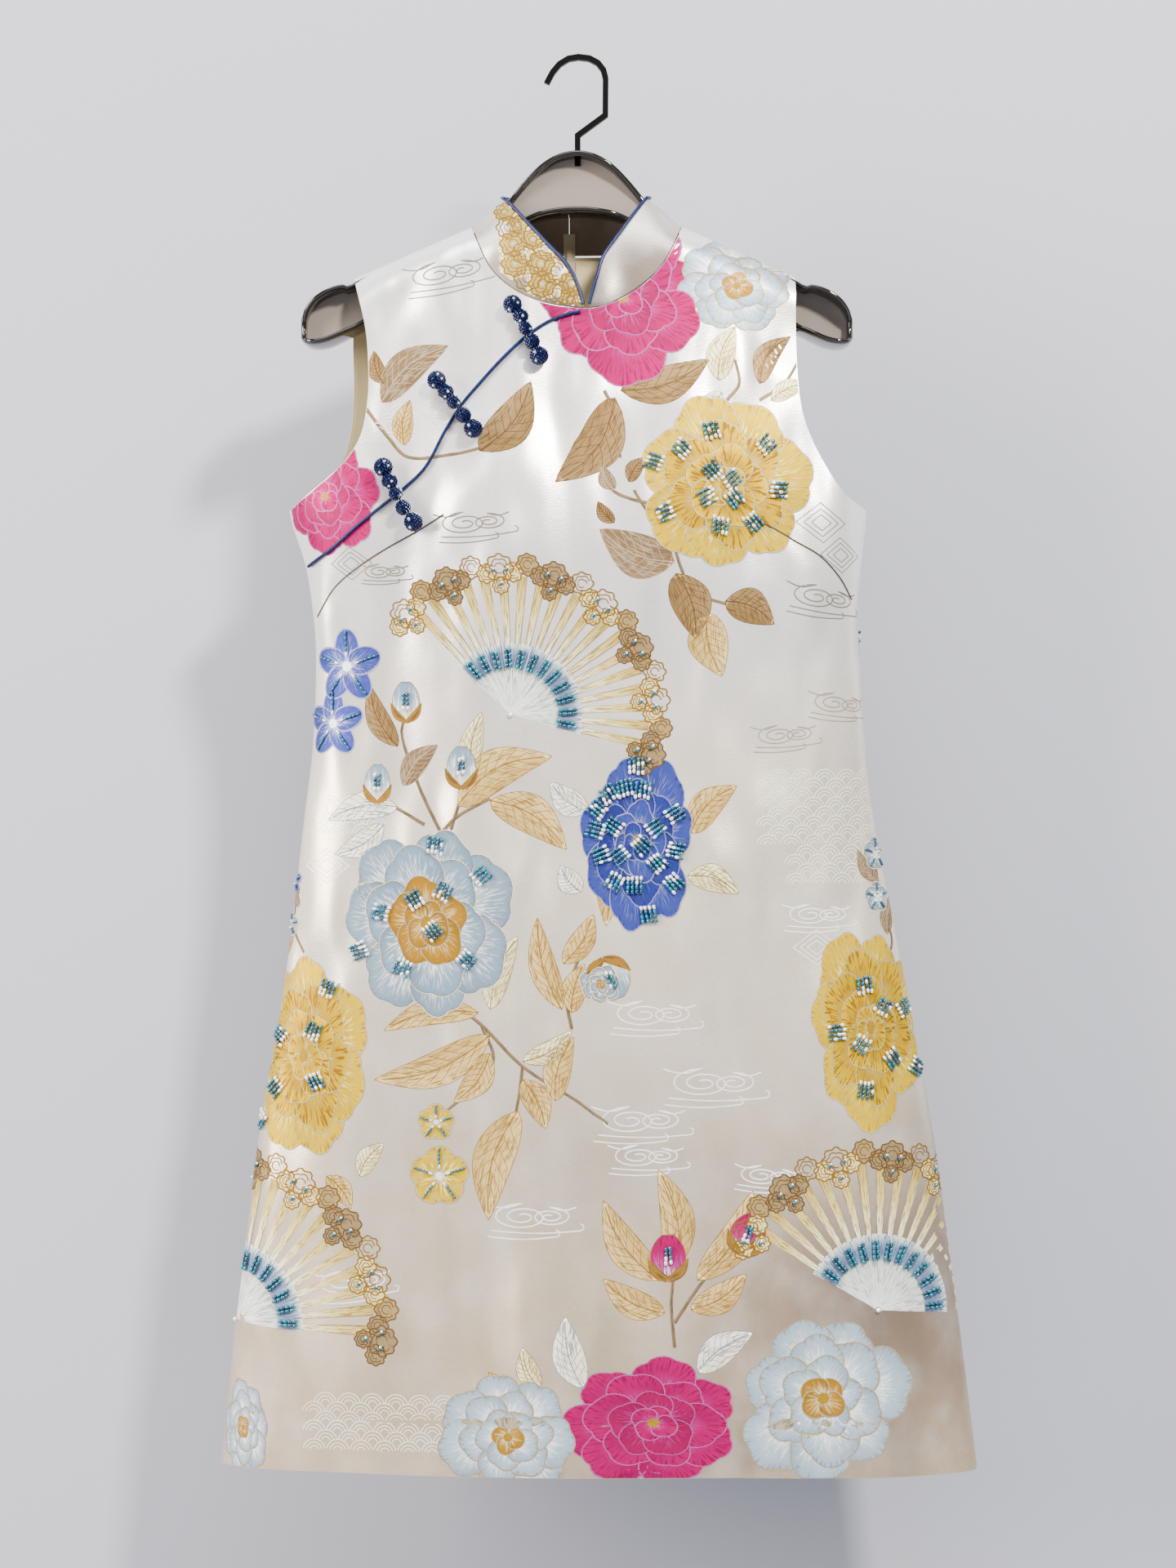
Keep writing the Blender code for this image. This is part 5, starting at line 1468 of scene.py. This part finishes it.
def small_flower(front, middle, radius, palette):
    spot = Spot(front, middle, lift=0.22)
    width = 0.62 if palette == "periwinkle" else 0.95
    blossom(spot, radius, PALETTES[palette]["out"], EDGES[palette], width, "#DDE6EA")
    for j in range(5):
        a = 90 + 72 * j
        place = spot.place(np.array((math.cos(math.radians(a)), math.sin(math.radians(a))))
                           * radius * 0.6)
        bead_row(front, place, a, radius * 0.7, 5, ["#F4F7F8", "#2F9DB5", "#1F86A0"], 1.8)


# Back: palette or kind, distance round and height, half width, half height, turn
BACK_FLOWERS = (
    ("yellow", -88, -300, 66, 62, 12), ("blue_gold", 92, -250, 46, 50, 30),
    ("magenta", 4, -235, 52, 44, 0), ("periwinkle", 60, -560, 46, 62, 0),
    ("blue_gold", -120, -600, 66, 74, 20), ("yellow", 160, -730, 58, 76, 0),
    ("yellow", -190, -780, 60, 76, 0), ("magenta", -30, -1030, 72, 54, 0),
    ("blue", 120, -1010, 70, 62, 0), ("blue", -170, -1035, 50, 50, 0), ("magenta", 190, -430, 36, 42, 0),
)
BACK_FANS = ((-40, -480, -10, 140, 114), (176, -930, 20, 150, 118), (-220, -960, -5, 86, 124),
             (10, -860, 20, 160, 104))
BACK_LEAVES = (
    (-20, -290, 30, -330, 24, 0, 0.12), (30, -300, 60, -340, 22, 3, 0.1),
    (110, -340, 140, -390, 26, 0, 0.1), (-150, -380, -110, -420, 26, 1, 0.1),
    (20, -640, -20, -680, 26, 0, 0.12), (60, -660, 96, -690, 26, 3, 0.1),
    (-60, -720, -96, -750, 26, 2, 0.1), (80, -760, 116, -790, 26, 0, 0.1),
    (-120, -820, -90, -860, 26, 1, 0.1), (60, -930, 30, -960, 26, 3, 0.1),
    (-100, -960, -60, -930, 28, 0, 0.1), (130, -600, 170, -620, 24, 2, 0.1),
    (-190, -500, -160, -540, 24, 3, 0.1), (150, -500, 120, -470, 24, 0, 0.1),
)
BACK_CLOUDS = ((-130, -210, 36, 0), (120, -320, 34, 10), (-20, -400, 36, 0), (120, -660, 40, 0),
               (-40, -790, 38, 0), (60, -430, 34, 0), (-180, -680, 36, 10), (200, -850, 38, 0),
               (-120, -900, 40, 0), (210, -620, 34, 0), (-70, -160, 26, 0), (70, -170, 26, 0))


def back_pattern():
    for s, z, size, turn in BACK_CLOUDS:
        cloud(False, (s, z), size, turn, scroll_colour(z))
    for s, z in ((-160, -260), (20, -700), (-60, -980)):
        waves(False, (s, z), 3, 3, WAVE_COLOUR)
    for s0, z0, s1, z1, width, tint, bend in BACK_LEAVES:
        colours, vein = LEAF_TINTS[tint]
        leaf(False, (s0, z0), (s1, z1), width, colours, vein, bend)
        stem(False, [(s0, z0), (s0 - (s1 - s0) * 0.4, z0 + 14), (s0 - (s1 - s0) * 0.6, z0 + 34)], 2.0,
             "#B89A72", "#86704F")
    for k, (s, z, start, end, reach) in enumerate(BACK_FANS):
        fan(False, (s, z), start, end, reach, 240 + k)
    for k, (palette, s, z, hw, hh, turn) in enumerate(BACK_FLOWERS):
        flower(False, palette, (s, z), hw, hh, turn, 260 + k)
        for j in range(8):
            a = 360.0 * j / 8 + 12 * k
            share = 0.62 if j % 2 else 0.34
            place = (s + hw * share * math.cos(math.radians(a)), z + hh * share * math.sin(math.radians(a)))
            bead_cluster(False, place, a, 4, 3000 + 50 * k + j)


# A dark line along each bust dart: painted shade in the dart's crease
for dart in DARTS:
    line(Spot(True, (0, 0), lift=0.40), placed(spline(dart, even(30)), True), 1.2, 0.0, "#6F655B")
front_pattern()
back_pattern()


def pattern_object(name, front):
    tris = np.concatenate(PATTERN[front])
    flat = tris.reshape(-1, COLUMNS)
    value = inside(flat[:, 0], flat[:, 1], front, 0.5).reshape(-1, 3)
    tris = clip(tris, value)
    rows, faces = weld(tris)
    points = cloth(rows[:, 0], rows[:, 1], front)
    normal = cloth_normal(rows[:, 0], rows[:, 1], front)
    points = points + normal * rows[:, 2:3]
    a, b, c = (points[faces[:, k]] for k in range(3))
    wrong = np.sum(np.cross(b - a, c - a) * normal[faces[:, 0]], axis=1) < 0
    faces[wrong] = faces[wrong][:, ::-1]
    obj = mesh_object(name, points, faces, [SILK], colours={"tint": rows[:, 3:6], "thread": rows[:, 6:9]},
                      vectors={"strand": rows[:, 9:12]})
    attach(obj, "dress")
    return obj


# Lace of the left collar's front: pixel place, radius in pixels, whether it is filled
COLLAR_LACE_Y = -42.0
COLLAR_LACE = (
    (616, 250, 9, 1), (622, 272, 11, 0), (628, 294, 12, 1), (633, 268, 9, 1), (630, 320, 12, 1),
    (646, 338, 12, 0), (664, 346, 12, 1), (682, 358, 12, 0), (698, 366, 10, 1), (712, 368, 8, 0),
    (640, 306, 10, 0), (662, 320, 12, 1), (680, 330, 12, 0), (700, 346, 11, 1), (652, 288, 10, 1),
    (668, 300, 11, 0), (714, 352, 8, 1),
)


def collar_motif():
    """Gold lace, drawn flat from the front and laid back onto the left collar."""
    net, _ = collar_net("left")
    rows, faces = weld(net_tris(np.concatenate([net, net], axis=2)))
    surface = BVHTree.FromPolygons(rows[:, :3].tolist(), faces.tolist())
    for px, py, radius, filled in COLLAR_LACE:
        spot = Spot("collar", seen_at(px, py, COLLAR_LACE_Y), lift=0.18)
        if filled:
            disc(spot, (0, 0), radius * 1.1, "#E2D2A2", -0.03, 7, 0.2, "#F0E6C8")
        rosette(spot, (0, 0), radius * 0.9, "#D6BC82", "#A58650", 0.0, bool(filled))
        disc(spot, (0, 0), radius * 0.13, "#C6CBCC", 0.05)
    flat = np.concatenate(PATTERN["collar"]).reshape(-1, COLUMNS)
    points = np.full((len(flat), 3), np.nan)
    for k, row in enumerate(flat):
        hit, normal, _, _ = surface.ray_cast(Vector((row[0], -200.0, row[1])), Vector((0, 1, 0)))
        if hit is not None and hit.y < 0:
            outward = normal if normal.y < 0 else -normal
            points[k] = hit + outward * row[2]
    kept = ~np.isnan(points[:, 0]).reshape(-1, 3).any(axis=1)
    points = points.reshape(-1, 3, 3)[kept].reshape(-1, 3)
    flat = flat.reshape(-1, 3, COLUMNS)[kept].reshape(-1, COLUMNS)
    obj = mesh_object("jacquard_collar", points, np.arange(len(points)).reshape(-1, 3), [SILK],
                      colours={"tint": flat[:, 3:6], "thread": flat[:, 6:9]},
                      vectors={"strand": flat[:, 9:12]}, smooth=False)
    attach(obj, "dress")
    return obj


BEAD_RINGS = ((-0.5, 0.55), (-0.28, 1.0), (0.28, 1.0), (0.5, 0.55))
BEAD_SIDES = 6


def bead_shape():
    """A short barrel along X: length 1, radius 1."""
    points, faces = [], []
    for x, r in BEAD_RINGS:
        for k in range(BEAD_SIDES):
            a = 2 * math.pi * k / BEAD_SIDES
            points.append((x, r * math.cos(a), r * math.sin(a)))
    n = BEAD_SIDES
    for ring in range(len(BEAD_RINGS) - 1):
        for k in range(n):
            a, b = ring * n + k, ring * n + (k + 1) % n
            faces += [(a, b, b + n), (a, b + n, a + n)]
    for base, flip in ((0, True), ((len(BEAD_RINGS) - 1) * n, False)):
        for k in range(1, n - 1):
            tri = (base, base + k, base + k + 1)
            faces.append(tri[::-1] if flip else tri)
    return np.array(points), np.array(faces)


def beads_object(name, front):
    rows = np.array(BEADS[front])
    rows = rows[inside(rows[:, 0], rows[:, 1], front, 1.6) > 0]
    s, z = rows[:, 0], rows[:, 1]
    a = np.radians(rows[:, 5])
    where = cloth(s, z, front)
    out = cloth_normal(s, z, front)
    ahead = cloth(s + 0.6 * np.cos(a), z + 0.6 * np.sin(a), front)
    along = ahead - where
    along -= out * np.sum(along * out, axis=1)[:, None]
    along /= np.linalg.norm(along, axis=1)[:, None]
    side = np.cross(out, along)
    shape, faces = bead_shape()
    points = (where + out * rows[:, 2:3])[:, None] + (
        along[:, None] * (shape[None, :, 0:1] * rows[:, None, 4:5])
        + side[:, None] * (shape[None, :, 1:2] * rows[:, None, 3:4])
        + out[:, None] * (shape[None, :, 2:3] * rows[:, None, 3:4]))
    count = len(shape)
    all_faces = faces[None] + (np.arange(len(rows)) * count)[:, None, None]
    tint = np.repeat(rows[:, 6:9], count, axis=0)
    obj = mesh_object(name, points.reshape(-1, 3), all_faces.reshape(-1, 3), [BEAD],
                      colours={"tint": tint})
    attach(obj, "dress")
    return obj


front_motifs = pattern_object("jacquard_front", True)
back_motifs = pattern_object("jacquard_back", False)
collar_lace = collar_motif()
front_beads = beads_object("beads_front", True)
back_beads = beads_object("beads_back", False)


# knots of crystal beads

def knot(name):
    bm = bmesh.new()
    sparkle = np.random.default_rng(7)
    for k, (x, z, radius) in enumerate(BUTTONS[name]):
        over = 2 * 1.45 + 2 * SEAM_GAP
        spring = over if k == 2 else (over * 0.45 if k in (1, 3) else 0.0)
        s = float(round_place(x, z, True))
        middle = cloth(s, z, True) + (radius + 0.6 + spring) * cloth_normal(s, z, True)
        core = bmesh.ops.create_icosphere(bm, subdivisions=3, radius=(radius - 1.0) * MM)["verts"]
        bmesh.ops.translate(bm, verts=core, vec=Vector(middle * MM))
        size = 1.15
        count = int(3.3 * ((radius - 0.4) / size) ** 2)
        for j in range(count):
            lat = math.asin(1 - 2 * (j + 0.5) / count)
            lon = j * math.pi * (3 - math.sqrt(5))
            d = np.array((math.cos(lat) * math.cos(lon), math.cos(lat) * math.sin(lon), math.sin(lat)))
            verts = bmesh.ops.create_icosphere(bm, subdivisions=1, radius=size * MM)["verts"]
            # A few beads take the pale material: painted glints of light on the knot
            index = int(sparkle.random() < 0.06)
            for face in {face for vert in verts for face in vert.link_faces}:
                face.material_index = index
            bmesh.ops.translate(bm, verts=verts, vec=Vector((middle + d * (radius - 0.9)) * MM))
    mesh = bpy.data.meshes.new("knot_" + name)
    bm.to_mesh(mesh)
    bm.free()
    mesh.materials.append(CRYSTAL)
    mesh.materials.append(GLINT_BEADS)
    obj = bpy.data.objects.new("knot_" + name, mesh)
    bpy.context.scene.collection.objects.link(obj)
    return dressed(obj, name)


for name in BUTTONS:
    knot(name)


# hanger

HANGER = (
    (0, -71.0, -118.0, 15.0), (14, -73.4, -118.8, 15.0), (27, -80.6, -121.0, 13.5),
    (38, -90.6, -125.0, 10.0), (50, -104.4, -131.0, 6.2), (62, -120.2, -140.0, 7.0),
    (74, -131.2, -151.0, 9.5), (86, -134.4, -160.0, 12.5), (106, -143.9, -172.5, 15.0),
    (128, -154.1, -184.0, 16.0), (150, -162.7, -197.0, 16.5), (167, -170.5, -207.5, 17.0),
    (173, -174.0, -210.0, 18.0), (178, -173.0, -212.5, 19.5), (190, -177.0, -217.5, 20.5),
    (200, -183.5, -219.0, 20.0), (206.5, -191.5, -217.5, 17.0), (209.5, -199.0, -213.5, 12.0),
)
RIM_HALF = 2.3
PLATE_HALF = 1.4
RIM_RING = 12


def hanger():
    """A plate with a thick rounded rim all the way round its outline."""
    half = np.array(HANGER)
    rows = np.concatenate([half[:0:-1] * (-1, 1, 1, 1), half])
    top, bottom = spline(rows[:, :2], even(150)), spline(rows[:, [0, 2]], even(150))
    outline = np.concatenate([top, bottom[::-1]])
    along = np.roll(outline, -1, axis=0) - np.roll(outline, 1, axis=0)
    along /= np.linalg.norm(along, axis=1)[:, None]
    inward = np.stack([along[:, 1], -along[:, 0]], axis=1)
    middle = outline + inward * RIM_HALF
    depth = np.interp(np.abs(outline[:, 0]), half[:, 0], half[:, 3])
    points = []
    for k in range(RIM_RING):
        angle = 2 * math.pi * k / RIM_RING
        c, s = (math.copysign(abs(w) ** 0.6, w) for w in (math.cos(angle), math.sin(angle)))
        place = middle + inward * RIM_HALF * c
        points.append(np.stack([place[:, 0], depth * s, place[:, 1]], axis=1))
    points = np.array(points)
    count = len(outline)
    i, j = np.meshgrid(np.arange(RIM_RING), np.arange(count), indexing="ij")
    i2, j2 = (i + 1) % RIM_RING, (j + 1) % count
    faces = np.stack([i * count + j, i * count + j2, i2 * count + j2, i2 * count + j], -1).reshape(-1, 4)
    plate = []
    share = np.linspace(0, 1, 7)[:, None, None]
    level = (top - (0, RIM_HALF)) * (1 - share) + (bottom + (0, RIM_HALF)) * share
    for y in (-PLATE_HALF, PLATE_HALF):
        plate.append(np.stack([level[..., 0], np.full(level.shape[:2], y), level[..., 1]], axis=-1))
    plate = np.array(plate).reshape(2, -1, 3)
    wide = len(top)
    i, j = np.meshgrid(np.arange(6), np.arange(wide - 1), indexing="ij")
    quad = np.stack([i * wide + j, i * wide + j + 1, (i + 1) * wide + j + 1, (i + 1) * wide + j],
                    -1).reshape(-1, 4)
    base = RIM_RING * count
    faces = np.concatenate([faces, quad[:, ::-1] + base, quad + base + plate.shape[1]])
    points = np.concatenate([points.reshape(-1, 3), plate.reshape(-1, 3)])
    index = np.concatenate([np.zeros(RIM_RING * count, int), np.ones(2 * len(quad), int)])
    return dressed(mesh_object("hanger_moulded", points, faces, [RIM, SMOKED], index), "hanger_body")


hanger()


# nodes that keep their CAD shape

for node, material in (("hanger_hook", HOOK_BLACK), ("zip_tape", TAPE), ("zip_coil", TAPE),
                       ("zip_slider", PLATED), ("zip_pull", PLATED)):
    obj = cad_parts[node]
    for k in range(len(obj.material_slots)):
        obj.material_slots[k].material = material


# camera, light and room

camera = bpy.data.objects.new("camera", bpy.data.cameras.new("camera"))
bpy.context.scene.collection.objects.link(camera)
camera.location = (CAMERA_X * MM, -CAMERA_AWAY * MM, CAMERA_Z * MM)
camera.rotation_euler = (math.pi / 2, 0, 0)
camera.data.sensor_fit = "VERTICAL"
camera.data.sensor_height = 36.0
camera.data.lens = 36.0 * CAMERA_AWAY / (PHOTO_HEIGHT * PHOTO_SCALE)
bpy.context.scene.camera = camera


def wall_material():
    # Matt pale paint on the side that faces the room; nothing shows from behind the wall
    made, tree, shader = new_material("matt_pale_wall", Roughness=0.9)
    shader.inputs["Base Color"].default_value = rgba("#CDD0DA")
    behind = add(tree, "ShaderNodeNewGeometry").outputs["Backfacing"]
    clear = add(tree, "ShaderNodeBsdfTransparent").outputs["BSDF"]
    both = add(tree, "ShaderNodeMixShader", {0: behind, 1: shader.outputs["BSDF"], 2: clear})
    tree.links.new(both.outputs["Shader"], tree.nodes["Material Output"].inputs["Surface"])
    return made


WALL = wall_material()
room = bmesh.new()
bmesh.ops.create_grid(room, x_segments=2, y_segments=2, size=6.0)
for vert in room.verts:
    vert.co = Vector((vert.co.x, 0.15, vert.co.y))
room_mesh = bpy.data.meshes.new("wall")
room.to_mesh(room_mesh)
room.free()
room_mesh.materials.append(WALL)
wall = bpy.data.objects.new("wall", room_mesh)
bpy.context.scene.collection.objects.link(wall)
floor_mesh = room_mesh.copy()
for vert in floor_mesh.vertices:
    vert.co = (vert.co.x, vert.co.z, -1.42)
floor = bpy.data.objects.new("floor", floor_mesh)
bpy.context.scene.collection.objects.link(floor)


def area_light(name, place, target, size, power, colour):
    lamp = bpy.data.lights.new(name, "AREA")
    lamp.shape, lamp.size, lamp.size_y = "RECTANGLE", size[0], size[1]
    lamp.energy = power
    lamp.color = tuple(linear(colour))
    obj = bpy.data.objects.new(name, lamp)
    bpy.context.scene.collection.objects.link(obj)
    obj.location = place
    away = Vector(target) - Vector(place)
    obj.rotation_euler = away.to_track_quat("-Z", "Y").to_euler()
    return obj


area_light("key", (1.3, -2.2, 1.3), (0, 0, -0.6), (0.35, 0.35), 225, "#FFF9F0")
area_light("window", (-2.6, -1.4, 0.3), (0, 0, -0.6), (1.2, 2.0), 230, "#FFF4E8")
area_light("ceiling", (-0.3, -1.6, 2.1), (0, 0, -0.5), (1.8, 1.2), 85, "#F6F8FF")
world = bpy.data.worlds.new("room_light")
world.use_nodes = True
world.node_tree.nodes["Background"].inputs["Color"].default_value = rgba("#E8EAF0")
world.node_tree.nodes["Background"].inputs["Strength"].default_value = 0.5
bpy.context.scene.world = world
